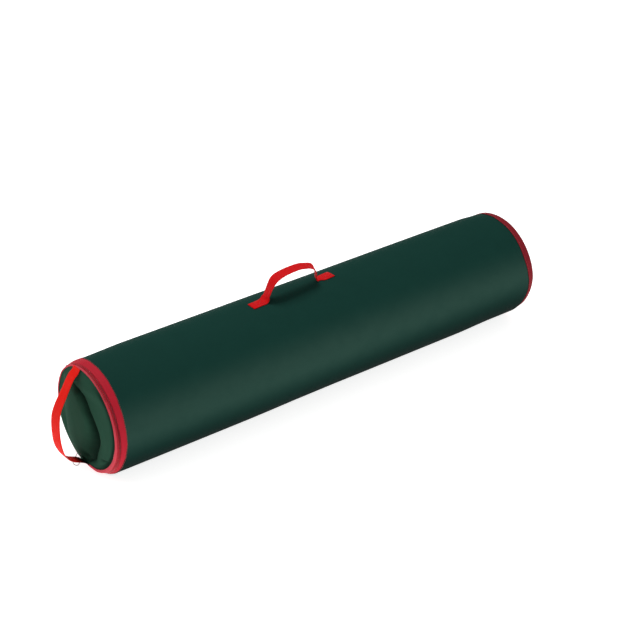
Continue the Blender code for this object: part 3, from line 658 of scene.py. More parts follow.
def tooth_row(name, x, start, sweep, offset, body, **named):
    """One half of the zip's coil: bars that stand side by side round the mouth."""
    pitch = bpy.context.scene.organizer_sizes.tooth_pitch
    radius = band_radius(x) - 0.0005
    steps = int(sweep * radius / pitch)
    first = start + (offset + 0.25) * pitch / radius
    bm = bmesh.new()
    bmesh.ops.create_cone(
        bm, cap_ends=True, segments=8, radius1=TOOTH_RADIUS, radius2=TOOTH_RADIUS, depth=TOOTH_LENGTH,
        matrix=Matrix.Rotation(pi / 2, 4, "Y"),
    )
    rim = [edge for edge in bm.edges if abs(edge.verts[0].co.x - edge.verts[1].co.x) < 1e-6]
    bevel_edges(bm, rim, TOOTH_RADIUS * 0.5, 1)
    bmesh.ops.scale(bm, vec=(1, 1, 1.9), verts=bm.verts)
    seat_round(bm, x, radius, first, -BAND_SLOPE)
    repeat_round(bm, (steps - 1) * pitch / radius, steps - 1)
    return new_piece(name, settle_rim(bm), "nylon_coil", body, "red_coil", **named)


def smooth_route(points, steps):
    """A smooth curve through the points, with the given number of steps between two of them."""
    padded = [points[0] * 2 - points[1], *points, points[-1] * 2 - points[-2]]
    route = []
    for a, b, c, d in zip(padded, padded[1:], padded[2:], padded[3:]):
        for step in range(steps):
            t = step / steps
            square = (a * 2 - b * 5 + c * 4 - d) * t**2
            cube = (b * 3 - a - c * 3 + d) * t**3
            route.append((b * 2 + (c - a) * t + square + cube) / 2)
    return [*route, points[-1]]


def swept(bm, rings, joined=False):
    """Draws a ring of edges through the rings of places, and closes its two ends or joins them."""
    ring = [bm.verts.new(place) for place in rings[0]]
    edges = [bm.edges.new(pair) for pair in zip(ring, ring[1:] + ring[:1])]
    ends = list(edges)
    drawn = [ring]
    for places in rings[1:]:
        made = bmesh.ops.extrude_edge_only(bm, edges=edges)["geom"]
        fresh = {item for item in made if isinstance(item, bmesh.types.BMVert)}
        edges = [item for item in made if isinstance(item, bmesh.types.BMEdge)]
        edges = [edge for edge in edges if fresh.issuperset(edge.verts)]
        ring = [
            next(edge.other_vert(vert) for edge in vert.link_edges if edge.other_vert(vert) in fresh)
            for vert in ring
        ]
        for vert, place in zip(ring, places):
            vert.co = place
        drawn.append(ring)
    if joined:
        bmesh.ops.bridge_loops(bm, edges=ends + edges)
    else:
        bmesh.ops.holes_fill(bm, edges=ends + edges, sides=0)
    bmesh.ops.recalc_face_normals(bm, faces=bm.faces[:])
    return drawn


def webbing(route, sides, spread=None):
    """A strap of webbing along the route, with its width along the side directions."""
    spread = spread or [1] * len(route)
    sizes = bpy.context.scene.organizer_sizes
    width, thickness = sizes.webbing_width, sizes.webbing_thickness
    lengths = [0]
    rings = []
    for index, (point, side) in enumerate(zip(route, sides)):
        if index:
            lengths.append(lengths[-1] + (point - route[index - 1]).length)
        ahead = (route[min(index + 1, len(route) - 1)] - route[max(index - 1, 0)]).normalized()
        flat_side = (side - ahead * side.dot(ahead)).normalized()
        outwards = ahead.cross(flat_side)
        rings.append(
            [
                point + flat_side * (share * width * spread[index]) + outwards * (up * thickness)
                for share, up in WEBBING_SECTION
            ]
        )
    bm = bmesh.new()
    places = {}
    for ring, length in zip(swept(bm, rings), lengths):
        for vert, (share, _) in zip(ring, WEBBING_SECTION):
            places[vert] = (share * width, length)
    flat = bm.loops.layers.uv.new("flat")
    for face in bm.faces:
        for corner in face.loops:
            corner[flat].uv = places[corner.vert]
    return bm


def tube_swell(x, angle):
    """How far the tube's cloth stands off its sheet: soft unevenness, and puckers by its sewn ends."""
    soft = ripple_at(x * 4, angle, 1.6)
    near_mouth = exp(-max(0, x - BAND_END) / 0.022)
    near_end = exp(-max(0, 0.493 - x) / 0.018)
    pucker = ripple_at(x * 12, angle, 9, 5)
    return max(-0.0004, 0.00030 * (soft - 0.7) + 0.0003 * (near_mouth + near_end) * (pucker - 0.5))


def fullness(x, angle):
    """How far the cloth stands outside a round tube: low in front, above the floor, and high behind."""
    front = smooth_share(cos(angle + radians(126)), 0.25, 0.97)
    rear = smooth_share(cos(angle - radians(54)), 0.70, 0.98)
    low = (0.0042 - 0.0022 * smooth_share(x, -0.20, 0.0)) * smooth_share(x, 0.44, 0.34)
    high = 0.0020 * smooth_share(x, -0.47, -0.38) * smooth_share(x, 0.490, 0.455)
    floor_gap = max(0, AXIS_HEIGHT / max(0.5, -sin(angle)) - BAND_RADIUS)
    return min(floor_gap, front * low * smooth_share(x, -0.508, BAND_END)) + rear * high


def shape_end(bm):
    """Shapes the tube's far end: it leans out at its bottom, tapers in front, and its binding is uneven."""
    for vert in bm.verts:
        angle, x = angle_of(vert.co), vert.co.x
        low = (TUBE_TOP - vert.co.z) / TUBE_TOP
        if x > WALL_END:
            hem = min(1, (BINDING_END - x) / (BINDING_END - BINDING_START))
            hem *= smooth_share(x, WALL_END, BINDING_START - 0.001)
            vert.co.x += line_at(BINDING_LINE, angle, 1) * hem
        front = smooth_share(cos(angle + radians(132)), 0.55, 0.97)
        taper = 0.0030 * front * smooth_share(vert.co.x, WALL_END, BINDING_END - 0.002)
        move_out(vert, -taper * min(1, radius_of(vert.co) / 0.1) ** 3)
        bow = 0.0025 * smooth_share(cos(angle - radians(145)), 0.35, 0.95)
        vert.co.x += END_LEAN * low * smooth_share(x, 0.36, 0.493) + bow * smooth_share(x, 0.45, 0.505)
    return bm


def settle_rim(bm):
    """Sets the mouth's pieces on the uneven line of its rim, and the tube's hem on its own line."""
    start = bpy.context.scene.organizer_sizes.hem_start
    for vert in bm.verts:
        x, angle = vert.co.x, angle_of(vert.co)
        move_out(vert, fullness(x, angle) * min(1, radius_of(vert.co) / 0.1) ** 3)
        if x > BAND_END + HEM_REACH:
            continue
        back = line_at(HEM_LINE, angle, 1) * smooth_share(x, start - 0.005, start) * (
            1 - smooth_share(x, start + 0.010, BAND_END + HEM_REACH)
        )
        near = min(1, max(0, (BAND_END - x) / (BAND_END - MOUTH_X)))
        rim = smooth_share(x, -0.5044, -0.5073)
        middle = min(1, radius_of(vert.co) / 0.0985) ** 3
        move_out(vert, line_at(RIM_LINE, angle, 1) * near * middle + band_radius(x + back) - band_radius(x))
        vert.co.x += back + line_at(RIM_LINE, angle, 2) * rim * middle
    return bm


def rear_low(angle):
    """1 low at the rear, 0 elsewhere, and smooth between them."""
    return smooth_share(cos(angle + pi / 4), 0.55, 0.85)


class ORGANIZER_OT_tube(bpy.types.Operator):
    """Make the woven tube with its lengthwise seam"""

    bl_idname = "organizer.tube"
    bl_label = "Woven tube"

    def execute(self, context):
        sizes = context.scene.organizer_sizes
        radius, cloth, start = sizes.tube_radius, sizes.cloth_thickness, sizes.hem_start
        inside = radius - cloth
        end_radius = radius - 0.0020
        hem_radius = band_radius(start)
        rings = 84
        outer = [(start + 0.0003, hem_radius + 0.00035), (start + 0.0012, hem_radius + 0.0007)]
        outer += [(BAND_END + 0.0005 + step * 0.0015, radius) for step in range(6)]
        outer += [(-0.4815 + 0.9733 * step / rings, radius) for step in range(1, rings + 1)]
        outer += [(0.4933, radius - 0.0009)]
        outer += [(x, end_radius) for x in (0.4947, 0.5010, TUBE_END)]
        inner = [(x, end_radius - cloth) for x in (TUBE_END, 0.4947)]
        inner += [(x, inside) for x in (0.4916, 0.1, -0.2, -0.4900)]
        inner += [(start, hem_radius + 0.00005)]
        bm = turned(outer + inner, 160)
        for vert in bm.verts:
            move_out(vert, tube_swell(vert.co.x, angle_of(vert.co)) - 0.00002)
        settle_rim(shape_end(lay_round(bm)))
        tube = new_piece("tube_cloth", bm, "tube_cloth", "tube", "green_fabric", ["shell_fabric"])
        self.make_seam(radius)
        return {"FINISHED"}

    def make_seam(self, radius):
        """The lengthwise seam: a flat felled ridge."""
        bm = bmesh.new()
        low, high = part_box("shell_seam")
        half = 0.0040
        bmesh.ops.create_grid(bm, x_segments=120, y_segments=6, size=1)
        for vert in bm.verts:
            x = low.x + (high.x - low.x) * (vert.co.x + 1) / 2
            across = vert.co.y * half
            crown = 0.0006 * (1 - abs(vert.co.y) ** 6)
            ripple = 0.00012 * noise.noise(Vector((x * 60, vert.co.y * 2, 3)))
            vert.co = round_axis(x, radius - 0.0004 + crown + ripple, SEAM_ANGLE + across / radius)
        flat = bm.loops.layers.uv.new("flat")
        for face in bm.faces:
            for loop in face.loops:
                turn = (angle_of(loop.vert.co) - SEAM_ANGLE + pi) % tau - pi
                loop[flat].uv = (loop.vert.co.x, turn * radius)
        bmesh.ops.recalc_face_normals(bm, faces=bm.faces[:])
        bmesh.ops.solidify(bm, geom=bm.faces[:], thickness=0.0003)
        shape_end(bm)
        new_piece("tube_seam", settle_rim(bm), "tube_cloth", "tube", "green_fabric", ["shell_seam"])


class ORGANIZER_OT_inside(bpy.types.Operator):
    """Make the lining, and finish the plastic sheet that keeps the tube round"""

    bl_idname = "organizer.inside"
    bl_label = "Inside"

    def execute(self, context):
        low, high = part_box("inner_lining")
        hem = [low.x + step * 0.0012 for step in range(5)]
        steps = 60
        places = hem + [low.x + (high.x - low.x) * step / steps for step in range(1, steps + 1)]
        inner = hem + places[len(hem)::6]
        profile = [(x, LINING_OUTSIDE) for x in places] + [(x, LINING_INSIDE) for x in reversed(inner)]
        bm = turned(profile, 96)
        middle = (LINING_OUTSIDE + LINING_INSIDE) / 2
        for vert in bm.verts:
            sewn = smooth_share(vert.co.x, hem[-1], low.x + 0.0008)
            move_out(vert, fullness(low.x, angle_of(vert.co)) * sewn)
            if vert.co.x > hem[-1] and radius_of(vert.co) < middle:
                slack = ripple_at(vert.co.x * 9, angle_of(vert.co), 5)
                move_out(vert, -0.0004 * (slack + 0.6))
        lining = new_piece(
            "lining", lay_round(bm), "lining_cloth", "tube", "lining_fabric", ["inner_lining"]
        )
        keep_node("wall_stiffener", "plastic_sheet")
        return {"FINISHED"}


class ORGANIZER_OT_far_end(bpy.types.Operator):
    """Make the far end's round cloth, its stiff sheet, its binding and its stitches"""

    bl_idname = "organizer.far_end"
    bl_label = "Far end"

    def execute(self, context):
        low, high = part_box("base_panel")
        bm = disc(high.x, END_CLOTH_RADIUS, 40, 120)
        for vert in bm.verts:
            reach = radius_of(vert.co) / 0.0975
            dent = noise.noise(Vector((1, vert.co.y * 14, vert.co.z * 14)))
            pucker = sin(angle_of(vert.co) * 38 + 2 * dent) * smooth_share(reach, 0.72, 1.0)
            vert.co.x += 0.0014 * (1 - min(1, reach) ** 4) * (0.5 + dent) + 0.00022 * pucker
        lay_disc(bm)
        face_along(bm, 1)
        bmesh.ops.solidify(bm, geom=bm.faces[:], thickness=high.x - low.x)
        shape_end(bm)
        self.make_stiffener()
        cloth = new_piece("end_cloth", bm, "tube_cloth", "tube", "green_fabric", ["base_panel"])

        profile = [
            (0.4950, 0.10765), (0.4951, 0.10815), (0.4975, 0.10840), (0.5015, 0.10850), (0.5060, 0.10850),
            (0.5090, 0.10830), (0.5103, 0.10780), (0.5108, 0.10650), (0.5108, 0.10200), (0.5107, 0.09760),
            (0.5103, 0.09735), (0.5099, 0.09760), (0.5099, 0.10640), (0.5090, 0.10740),
        ]
        bm = turned(profile, 180)
        for vert in bm.verts:
            move_out(vert, 0.00022 * (ripple_at(vert.co.x * 90, angle_of(vert.co), 26) - 0.4))
        shape_end(lay_round(bm))
        new_piece("end_binding", bm, "end_binding", "tube", "red_binding", ["base_binding"])
        stitch_row("end_stitches", 0.4968, 0.10845, 0, tau, "tube", replaces=["base_stitching"])
        return {"FINISHED"}

    def make_stiffener(self):
        """The stiff sheet behind the end cloth, cut a little small so that it turns in with the cloth."""
        low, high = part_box("base_stiffener")
        bm = disc(high.x, high.z - AXIS_HEIGHT - 0.0008, 24, 96)
        face_along(bm, 1)
        bmesh.ops.solidify(bm, geom=bm.faces[:], thickness=high.x - low.x)
        new_piece("end_stiffener", shape_end(bm), "plastic_sheet", "tube", "clear_sheet", ["base_stiffener"])


class ORGANIZER_OT_zip(bpy.types.Operator):
    """Make the zip: its tapes, their stitches and its coils, and finish its stops"""

    bl_idname = "organizer.zip"
    bl_label = "Zip"

    def execute(self, context):
        fold = acos(FOLD_SIDE / LID_EDGE_RADIUS)
        start, sweep = fold + 0.002, tau - 2 * fold - 0.004
        profile = self.tape_profile(-0.5072, 0.0005, 5)
        self.make_tape("lid_tape", turned(profile, 150, start, sweep), "lid", "zip_tape_lid")
        stitch_row(
            "lid_stitches", -0.5064, band_radius(-0.5064) + 0.0001, start + 0.02, sweep - 0.04, "lid",
            tilt=-BAND_SLOPE, replaces=["lid_stitching"],
        )

        profile = self.tape_profile(-0.5072, 0.0013, 7)
        self.make_tape("fold_tape", turned(profile, 50, 0.002 - fold, 2 * fold - 0.004), "tube", "hinge_tape")

        profile = self.tape_profile(-0.5008, 0.0007, 11, under_cloth=(-0.4915, -0.4885, -0.4847))
        self.make_tape("tube_tape", turned(profile, 180), "tube", "zip_tape_body")
        stitch_row(
            "tube_stitches", -0.4932, band_radius(-0.4932) + 0.0008, 0, tau, "tube",
            tilt=-BAND_SLOPE, replaces=["zip_tape_stitching"],
        )

        coil = acos(COIL_SIDE / COIL_RADIUS)
        arc = tau - 2 * coil
        tooth_row("lid_coil", -0.50405, coil, arc, 0.0, "lid", replaces=["zip_chain_lid"])
        tooth_row("tube_coil", -0.50205, coil, arc, 0.5, "tube", replaces=["zip_chain_body"])
        for name in ("zip_stop_open", "zip_stop_closed"):
            keep_node(name, "slider_metal")
        return {"FINISHED"}

    def tape_profile(self, start, pitch, count, under_cloth=()):
        """A tape's section along the band, with the places where it runs on level under the tube's cloth."""
        outer = [(start + step * pitch, band_radius(start + step * pitch)) for step in range(count)]
        outer += [(x, 0.1083) for x in under_cloth]
        return outer + [(x, radius - TAPE_THICKNESS) for x, radius in reversed(outer)]

    def make_tape(self, name, bm, body, node):
        """A tape of the zip, which ripples a little between its stitches."""
        for vert in bm.verts:
            ripple = ripple_at(vert.co.x * 150, angle_of(vert.co), 16)
            move_out(vert, 0.00016 * (ripple - 0.6))
        new_piece(name, settle_rim(lay_round(bm)), "zip_tape", body, "red_tape", [node])


class ORGANIZER_OT_slider(bpy.types.Operator):
    """Make the zip's slider and its wire loop"""

    bl_idname = "organizer.slider"
    bl_label = "Zip slider"

    def execute(self, context):
        bm = bmesh.new()
        for low in (0.0011, -0.0042):
            self.add_plate(bm, low)
        self.add_post(bm, (0.0022, 0.0045, 0.0046), (0, -0.0036, -0.0009))
        self.add_crown(bm)
        bm.transform(SLIDER_PLACE)
        new_piece("zip_slider", bm, "slider_metal", "slider", "zip_metal", ["slider_body"])
        self.make_wire()
        return {"FINISHED"}

    def add_post(self, bm, size, place):
        """The post that joins the slider's two plates."""
        matrix = Matrix.Translation(place) @ Matrix.Diagonal((*size, 1))
        made = bmesh.ops.create_cube(bm, size=1, matrix=matrix)
        edges = {edge for vert in made["verts"] for edge in vert.link_edges}
        bevel_edges(bm, list(edges), min(size) * 0.2, 2)

    def add_plate(self, bm, low):
        """One of the slider's two plates: wide in front and narrow behind, with rounded corners."""
        corners = (
            (-0.0046, -0.0052), (-0.0032, -0.0065), (0.0032, -0.0065), (0.0046, -0.0052), (0.0046, 0.0),
            (0.0034, 0.0052), (0.0021, 0.0065), (-0.0021, 0.0065), (-0.0034, 0.0052), (-0.0046, 0.0),
        )
        verts = [bm.verts.new((x, y, low)) for x, y in corners]
        face = bm.faces.new(verts)
        made = bmesh.ops.extrude_face_region(bm, geom=[face], use_keep_orig=True)["geom"]
        top = [item for item in made if isinstance(item, bmesh.types.BMVert)]
        bmesh.ops.translate(bm, vec=(0, 0, PLATE_THICKNESS), verts=top)
        whole = {edge for vert in verts + top for edge in vert.link_edges}
        faces = {face for edge in whole for face in edge.link_faces}
        bmesh.ops.recalc_face_normals(bm, faces=list(faces))
        level = [edge for edge in whole if abs(edge.verts[0].co.z - edge.verts[1].co.z) < 1e-6]
        bevel_edges(bm, level, 0.0003, 2)

    def add_crown(self, bm):
        """The bridge on top of the slider that holds the wire loop."""
        steps, half, width, thick = 12, 0.0040, 0.0020, 0.0008
        edge, face = width / 2, thick / 2
        section = ((-edge, -face), (edge, -face), (edge, face), (-edge, face))
        rings = []
        for step in range(steps + 1):
            turn = pi * step / steps
            middle = Vector((0, -half * cos(turn), 0.0022 + 0.0019 * sin(turn)))
            outwards = Vector((0, -cos(turn), sin(turn) * 1.2)).normalized()
            rings.append([middle + Vector((side, 0, 0)) + outwards * up for side, up in section])
        swept(bm, rings)

    def make_wire(self):
        """The long wire loop, with a straight near end in the slider's bridge."""
        bend, far, corner, wire = 0.0059, 0.0229, 0.002, 0.0006
        points = [Vector((bend * cos(pi * i / 16), far + bend * sin(pi * i / 16), 0)) for i in range(17)]
        turn = [pi / 2 * i / 5 for i in range(6)]
        near = [Vector((bend - corner + corner * sin(t), corner - corner * cos(t), 0)) for t in turn]
        points += [Vector((-point.x, point.y, 0)) for point in reversed(near)] + near
        angles = [tau * step / 10 for step in range(10)]
        rings = []
        for index, point in enumerate(points):
            ahead = (points[(index + 1) % len(points)] - points[index - 1]).normalized()
            outwards = ahead.cross(Vector((0, 0, 1)))
            rings.append(
                [point + outwards * (wire * cos(a)) + Vector((0, 0, wire * sin(a))) for a in angles]
            )
        bm = bmesh.new()
        swept(bm, rings, joined=True)
        bm.transform(PULL_PLACE)
        new_piece("pull_wire", bm, "slider_metal", "pull", "zip_metal", ["pull_loop"])


def crease_side(height):
    """Side place of the lid's long crease at a height, both from the middle of the lid."""
    if height >= CREASE[0].y:
        return CREASE[0].x
    for a, b in zip(CREASE, CREASE[1:]):
        if a.y >= height >= b.y:
            return a.x + (b.x - a.x) * (a.y - height) / (a.y - b.y)
    return CREASE[-1].x


def lid_form(side, height):
    """How far the lid's cloth stands out from its rim: full behind its long crease, and low in front."""
    radius = sqrt(side**2 + height**2)
    reach = min(1, radius / 0.0985)
    behind = side - crease_side(height)
    lower = smooth_share(height, 0.02, -0.05)
    if behind > 0:
        width = 0.0040 + 0.0125 * lower
        to_fold = 1 - min(1, max(0, side) / FOLD_SIDE) ** 4
        form = 0.0150 * (1 - reach**6) * to_fold * (1 - exp(-behind / width))
    else:
        form = 0.0040 * (1 - reach**4) * (1 - exp(behind / (0.004 + 0.006 * lower)))
    dome = 0.0095 * (1 - reach**6)
    form += (dome - form) * smooth_share(height, 0.052, 0.078)
    ends = smooth_share(height, 0.072, 0.054) * smooth_share(height, -0.096, -0.070)
    form -= 0.0042 * ends * exp(-abs(behind) / (0.0022 + 0.0045 * lower))
    hollow = ((side + 0.010) ** 2 + (height + 0.074) ** 2) / 0.013**2
    form -= 0.0040 * exp(-hollow)
    recess = smooth_share(reach, 0.86, 0.97) * smooth_share(-side, 0.02, 0.06)
    recess *= smooth_share(radius, 0.1004, 0.0990)
    form -= 0.0022 * recess
    small = (side + 0.066) * 0.2 + (height + 0.059)
    form -= 0.0026 * exp(-((small / 0.0032) ** 2)) * smooth_share(abs(side + 0.064), 0.018, 0.006)
    coarse = noise.noise(Vector((side * 22, height * 12, 2)))
    fine = noise.noise(Vector((side * 60, height * 40, 4)))
    return form + 0.0006 * (coarse + 0.4 * fine) * (1 - reach**4)


def lid_fold_shade(side, height):
    """How much painted shade a place of the lid gets, from 0 to 1: in its long crease, in the hollow below it,
    in the small fold low in front, and beside the piping in front.
    """
    behind = side - crease_side(height)
    lower = smooth_share(height, 0.02, -0.05)
    width = 0.0035 + 0.0245 * lower if behind > 0 else 0.0020 + 0.0015 * lower
    ends = smooth_share(height, 0.078, 0.060) * smooth_share(height, -0.100, -0.090)
    crease = exp(-(abs(behind / width) ** 1.6)) * ends
    hollow = exp(-((side + 0.008) ** 2 + (height + 0.073) ** 2) / 0.017**2)
    small = (side + 0.066) * 0.2 + (height + 0.059)
    small = 0.6 * exp(-((small / 0.0026) ** 2)) * smooth_share(abs(side + 0.064), 0.018, 0.006)
    reach = sqrt(side**2 + height**2)
    beside = 0.85 * smooth_share(reach, 0.0880, 0.0930) * smooth_share(-side, 0.03, 0.07)
    return min(1, max(crease, hollow, small, beside))


class ORGANIZER_OT_lid(bpy.types.Operator):
    """Make the soft round lid and the piping round its edge"""

    bl_idname = "organizer.lid"
    bl_label = "Lid"

    def execute(self, context):
        bm = disc(LID_CLOTH_X, LID_CLOTH_RADIUS, 64, 192)
        fold_shade_mask = bm.verts.layers.float.new("fold_shade_mask")
        for vert in bm.verts:
            angle, radius = angle_of(vert.co), radius_of(vert.co)
            low = rear_low(angle)
            # Each vertex keeps how much painted shade it gets in the lid's folds and beside its piping.
            vert[fold_shade_mask] = lid_fold_shade(vert.co.y, vert.co.z - AXIS_HEIGHT)
            vert.co.x -= lid_form(vert.co.y, vert.co.z - AXIS_HEIGHT)
            vert.co.x -= 0.0030 * low * smooth_share(radius, 0.086, 0.097)
            edge = line_at(RIM_LINE, angle, 3) + 0.0022 - line_at(RIM_LINE, angle, 1)
            edge += low * (0.1034 - edge)
            move_out(vert, (edge - LID_CLOTH_RADIUS) * (radius / LID_CLOTH_RADIUS) ** 3)
        settle_rim(bm)
        lay_disc(bm)
        face_along(bm, -1)
        bmesh.ops.solidify(bm, geom=bm.faces[:], thickness=0.0006)
        lid = new_piece(
            "lid_cloth", bm, "lid_cloth", slot="lid_fabric", replaces=["lid_panel", "hinge_panel"]
        )
        self.bend(lid)

        profile = [
            (-0.5104, 0.09850), (-0.5110, 0.09845), (-0.5113, 0.09900), (-0.5115, 0.10080),
            (-0.5114, 0.10260), (-0.5108, 0.10370), (-0.5097, 0.10425), (-0.5084, 0.10430),
            (-0.5076, 0.10385), (-0.5076, 0.10330), (-0.5098, 0.10310), (-0.5104, 0.10210),
            (-0.5104, 0.10000),
        ]
        bm = turned(profile, 200)
        for vert in bm.verts:
            angle = angle_of(vert.co)
            ripple = ripple_at(vert.co.x * 120, angle, 20)
            outside = line_at(RIM_LINE, angle, 1)
            inset = line_at(RIM_LINE, angle, 3) - outside - 0.0984
            lip = smooth_share(radius_of(vert.co), 0.1032, 0.0986)
            move_out(vert, 0.00025 * (ripple - 0.5) + inset * lip)
            vert.co.x += 0.00012 * ripple_at(7, angle, 24)
        settle_rim(bm)
        piping = new_piece(
            "lid_piping", lay_round(bm), "lid_piping", slot="red_tape",
            replaces=["lid_binding", "hinge_binding"],
        )
        self.bend(piping)
        return {"FINISHED"}

    def bend(self, piece):
        """Lets a piece bend along the lid's fold line, at the rear."""
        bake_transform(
            piece, "tube", "lid", start=(MOUTH_X, FOLD_SIDE + FOLD_BEND, AXIS_HEIGHT),
            end=(MOUTH_X, FOLD_SIDE - FOLD_BEND, AXIS_HEIGHT),
        )


class ORGANIZER_OT_lid_handle(bpy.types.Operator):
    """Make the webbing loop across the lid"""

    bl_idname = "organizer.lid_handle"
    bl_label = "Lid handle"

    def execute(self, context):
        top, fall, reach = AXIS_HEIGHT + 0.0985, 0.1979, 0.0574
        points = []
        for out, down in LID_HANDLE_SHARES:
            side = 0.008 + 0.009 * smooth_share(down, 0.27, 0.0)
            points.append(Vector((MOUTH_X - out * reach, side, top - down * fall)))
        route = smooth_route(points, 5)
        route = [point for point in route if point.x < MOUTH_X + 0.0010]
        sides = []
        for point in route:
            height = point.z - AXIS_HEIGHT
            turn = 0.14 * smooth_share(height, 0.040, 0.080)
            turn -= 0.12 * smooth_share(height, 0.045, 0.020) * smooth_share(height, -0.065, -0.035)
            sides.append(Matrix.Rotation(-turn, 3, "Z") @ Vector((0, 1, 0)))
        bm = webbing(route, sides)
        strap = new_piece(
            "lid_handle", bm, "lid_webbing", slot="red_webbing",
            replaces=["end_handle_loop", "end_handle_top_end", "end_handle_bottom_end"],
        )
        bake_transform(strap, "lid", "end_handle", start=(-0.519, 0, 0), end=(-0.527, 0, 0))
        return {"FINISHED"}


class ORGANIZER_OT_carry_handle(bpy.types.Operator):
    """Make the webbing arch on top of the tube, with its stitched ends"""

    bl_idname = "organizer.carry_handle"
    bl_label = "Carry handle"

    def execute(self, context):
        radius = context.scene.organizer_sizes.tube_radius
        thickness = context.scene.organizer_sizes.webbing_thickness
        span, rise, sewn, far_sewn, pivot = 0.138, 0.0447, 0.030, 0.035, 0.012
        arch = [Vector(((along - 0.5) * span, 0, up * rise)) for along, up in CARRY_SHARES]
        near = [Vector((arch[0].x - sewn + sewn * step / 6, 0, 0)) for step in range(6)]
        far = [Vector((arch[-1].x + far_sewn * step / 9, 0, 0)) for step in range(1, 10)]
        route = near + smooth_route(arch, 8) + far
        for point in route:
            point.y = FAR_SIDE * smooth_share(point.x, 0.010, 0.062)
        seat = Matrix.Translation((-0.0275, 0.005, TUBE_TOP)) @ Matrix.Rotation(radians(4.5), 4, "Z")
        places = [seat @ (point + Vector((0, 0, thickness / 2 + 0.0004))) for point in route]
        plain = seat.to_3x3() @ Vector((0, 1, 0))
        sides, spread = [], []
        for point in route:
            far_turn = 0.50 * smooth_share(point.x, 0.030, 0.054) * smooth_share(point.x, 0.069, 0.062)
            far_turn -= 0.32 * smooth_share(point.x, 0.065, 0.076)
            near_turn = 0.28 * smooth_share(point.x, -0.035, -0.060) * smooth_share(point.x, -0.070, -0.066)
            side = Matrix.Rotation(-far_turn - near_turn, 3, "Z") @ plain
            side.z = 0.10 * smooth_share(point.x, 0.005, 0.030) * smooth_share(point.z, 0.020, 0.036)
            sides.append(side)
            flat_end = smooth_share(point.z, 0.03, 0.01)
            far_pinch = 0.50 * exp(-(((point.x - 0.0630) / 0.006) ** 2))
            near_patch = 0.10 * smooth_share(point.x, -0.07, -0.09)
            spread.append(1 - flat_end * (0.08 + (far_pinch + near_patch)))
        bm = webbing(places, sides, spread)
        for vert in bm.verts:
            hold = min(1, max(0, (pivot - (vert.co.z - TUBE_TOP)) / (pivot - thickness)))
            full = radius + fullness(vert.co.x, angle_of(vert.co))
            vert.co.z += (sqrt(full**2 - vert.co.y**2) - radius) * hold
        strap = new_piece(
            "carry_handle", bm, "carry_webbing", slot="red_webbing",
            replaces=["carry_handle_loop", "carry_handle_near_end", "carry_handle_far_end"],
        )
        height = TUBE_TOP + pivot
        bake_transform(strap, "tube", "carry_handle", start=(0, 0, height - 0.008), end=(0, 0, height + 0.010))
        middle = (span + sewn) / 2
        for name, side, node in (
            ("near_stitches", -1, "near_end_stitching"), ("far_stitches", 1, "far_end_stitching")
        ):
            self.make_box_stitch(name, seat, side * middle, radius, thickness, node)
        return {"FINISHED"}

    def make_box_stitch(self, name, seat, along, radius, thickness, node):
        """A stitched box with a cross in it, on a sewn end of the handle."""
        half_length, half_width = 0.0100, 0.0085
        level = seat.to_3x3().to_4x4()
        corners = [
            (-half_length, -half_width), (half_length, -half_width), (half_length, half_width),
            (-half_length, half_width),
        ]
        runs = [*zip(corners, corners[1:] + corners[:1]), (corners[0], corners[2]), (corners[1], corners[3])]
        bm = bmesh.new()
        for (x1, y1), (x2, y2) in runs:
            length = sqrt((x2 - x1) ** 2 + (y2 - y1) ** 2)
            count = round(length / 0.0025)
            turn = Matrix.Rotation(atan2(y2 - y1, x2 - x1), 4, "Z")
            for step in range(count):
                share = (step + 0.5) / count
                side = y1 + (y2 - y1) * share + (FAR_SIDE if along > 0 else 0)
                spot = seat @ Vector((along + x1 + (x2 - x1) * share, side, 0))
                lean = -spot.y / radius
                spot.z = AXIS_HEIGHT + sqrt(radius**2 - spot.y**2) + thickness + 0.0005
                spot.z += fullness(spot.x, angle_of(spot))
                place = Matrix.Translation(spot) @ Matrix.Rotation(lean, 4, "X") @ level @ turn
                size = Matrix.Diagonal((0.0011, 0.0003, 0.00022, 1))
                bmesh.ops.create_uvsphere(bm, u_segments=6, v_segments=4, radius=1, matrix=place @ size)
        new_piece(name, bm, "thread", "tube", "red_thread", [node])


def looking(place, direction):
    """How a light or camera stands at a place and looks in a direction."""
    return Matrix.Translation(place) @ direction.to_track_quat("-Z", "Y").to_matrix().to_4x4()


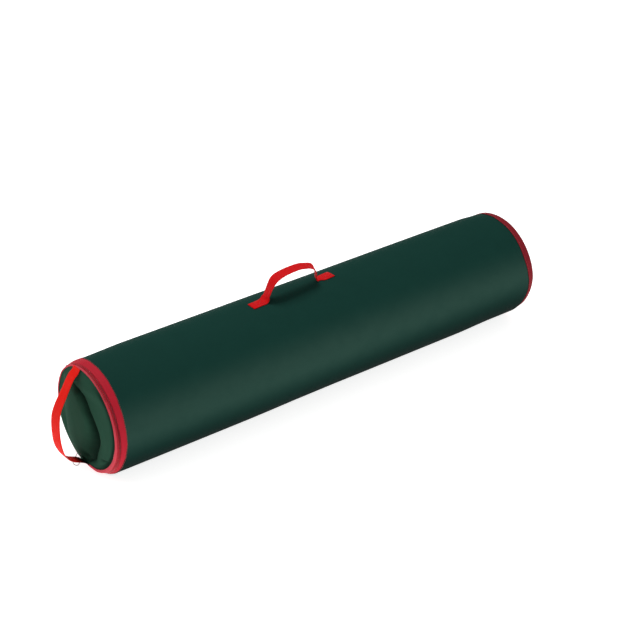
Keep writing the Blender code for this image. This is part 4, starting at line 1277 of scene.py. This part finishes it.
class ORGANIZER_OT_stage(bpy.types.Operator):
    """Make the pale floor, the soft studio light and the camera"""

    bl_idname = "organizer.stage"
    bl_label = "Stage"

    def execute(self, context):
        scene = context.scene
        bm = bmesh.new()
        bmesh.ops.create_grid(bm, x_segments=1, y_segments=1, size=8)
        bmesh.ops.translate(bm, vec=(0, 0, -0.0002), verts=bm.verts)
        mesh = bpy.data.meshes.new("floor")
        bm.to_mesh(mesh)
        bm.free()
        floor = Finish("floor", scene.organizer_colours.floor, 0.9, Emission_Strength=FLOOR_GLOW)
        floor.shader.inputs["Emission Color"].default_value = (1, 1, 1, 1)
        grain = floor.cloud(0.6, 2.0)
        floor.paint("Base Color", floor.mix(grain, floor.shade(0.995), floor.shade(1.005)))
        mesh.materials.append(floor.material)
        ground = bpy.data.objects.new("floor", mesh)
        scene.collection.objects.link(ground)

        world = bpy.data.worlds.new("studio")
        world.use_nodes = True
        background = world.node_tree.nodes["Background"]
        background.inputs["Color"].default_value = (1, 1, 1, 1)
        background.inputs["Strength"].default_value = SKY_STRENGTH
        scene.world = world
        for name, place, aim, size, power in STUDIO_LIGHTS:
            light = bpy.data.lights.new(name, "AREA")
            light.shape = "SQUARE"
            light.size = size
            light.energy = power
            lamp = bpy.data.objects.new(name, light)
            scene.collection.objects.link(lamp)
            lamp.matrix_world = looking(place, Vector(aim) - Vector(place))
        scene.view_settings.view_transform = "Standard"

        lens = bpy.data.cameras.new("camera")
        lens.lens = CAMERA_LENS
        lens.sensor_width = 36
        lens.clip_start = 0.05
        camera = bpy.data.objects.new("camera", lens)
        scene.collection.objects.link(camera)
        level = cos(CAMERA_ELEVATION)
        forward = Vector((-sin(CAMERA_AZIMUTH) * level, cos(CAMERA_AZIMUTH) * level, -sin(CAMERA_ELEVATION)))
        camera.matrix_world = looking(CAMERA_PLACE, forward)
        scene.camera = camera
        return {"FINISHED"}


OPERATORS = (
    ORGANIZER_OT_stage,
    ORGANIZER_OT_tube,
    ORGANIZER_OT_inside,
    ORGANIZER_OT_far_end,
    ORGANIZER_OT_zip,
    ORGANIZER_OT_slider,
    ORGANIZER_OT_lid,
    ORGANIZER_OT_lid_handle,
    ORGANIZER_OT_carry_handle,
)


class ORGANIZER_PT_pieces(bpy.types.Panel):
    """The organizer's sizes, colours and pieces"""

    bl_label = "Gift wrap organizer"
    bl_idname = "ORGANIZER_PT_pieces"
    bl_space_type = "VIEW_3D"
    bl_region_type = "UI"
    bl_category = "Organizer"

    def draw(self, context):
        for group in (context.scene.organizer_sizes, context.scene.organizer_colours):
            column = self.layout.column()
            for name in group.__annotations__:
                column.prop(group, name)
        column = self.layout.column()
        for operator in OPERATORS:
            column.operator(operator.bl_idname)


CLASSES = (OrganizerSizes, OrganizerColours, *OPERATORS, ORGANIZER_PT_pieces)


def register():
    for item in CLASSES:
        bpy.utils.register_class(item)
    bpy.types.Scene.organizer_sizes = PointerProperty(type=OrganizerSizes)
    bpy.types.Scene.organizer_colours = PointerProperty(type=OrganizerColours)


def unregister():
    del bpy.types.Scene.organizer_colours
    del bpy.types.Scene.organizer_sizes
    for item in reversed(CLASSES):
        bpy.utils.unregister_class(item)


def main():
    register()
    for piece in OPERATORS:
        group, name = piece.bl_idname.split(".")
        getattr(getattr(bpy.ops, group), name)()


if __name__ == "__main__":
    main()
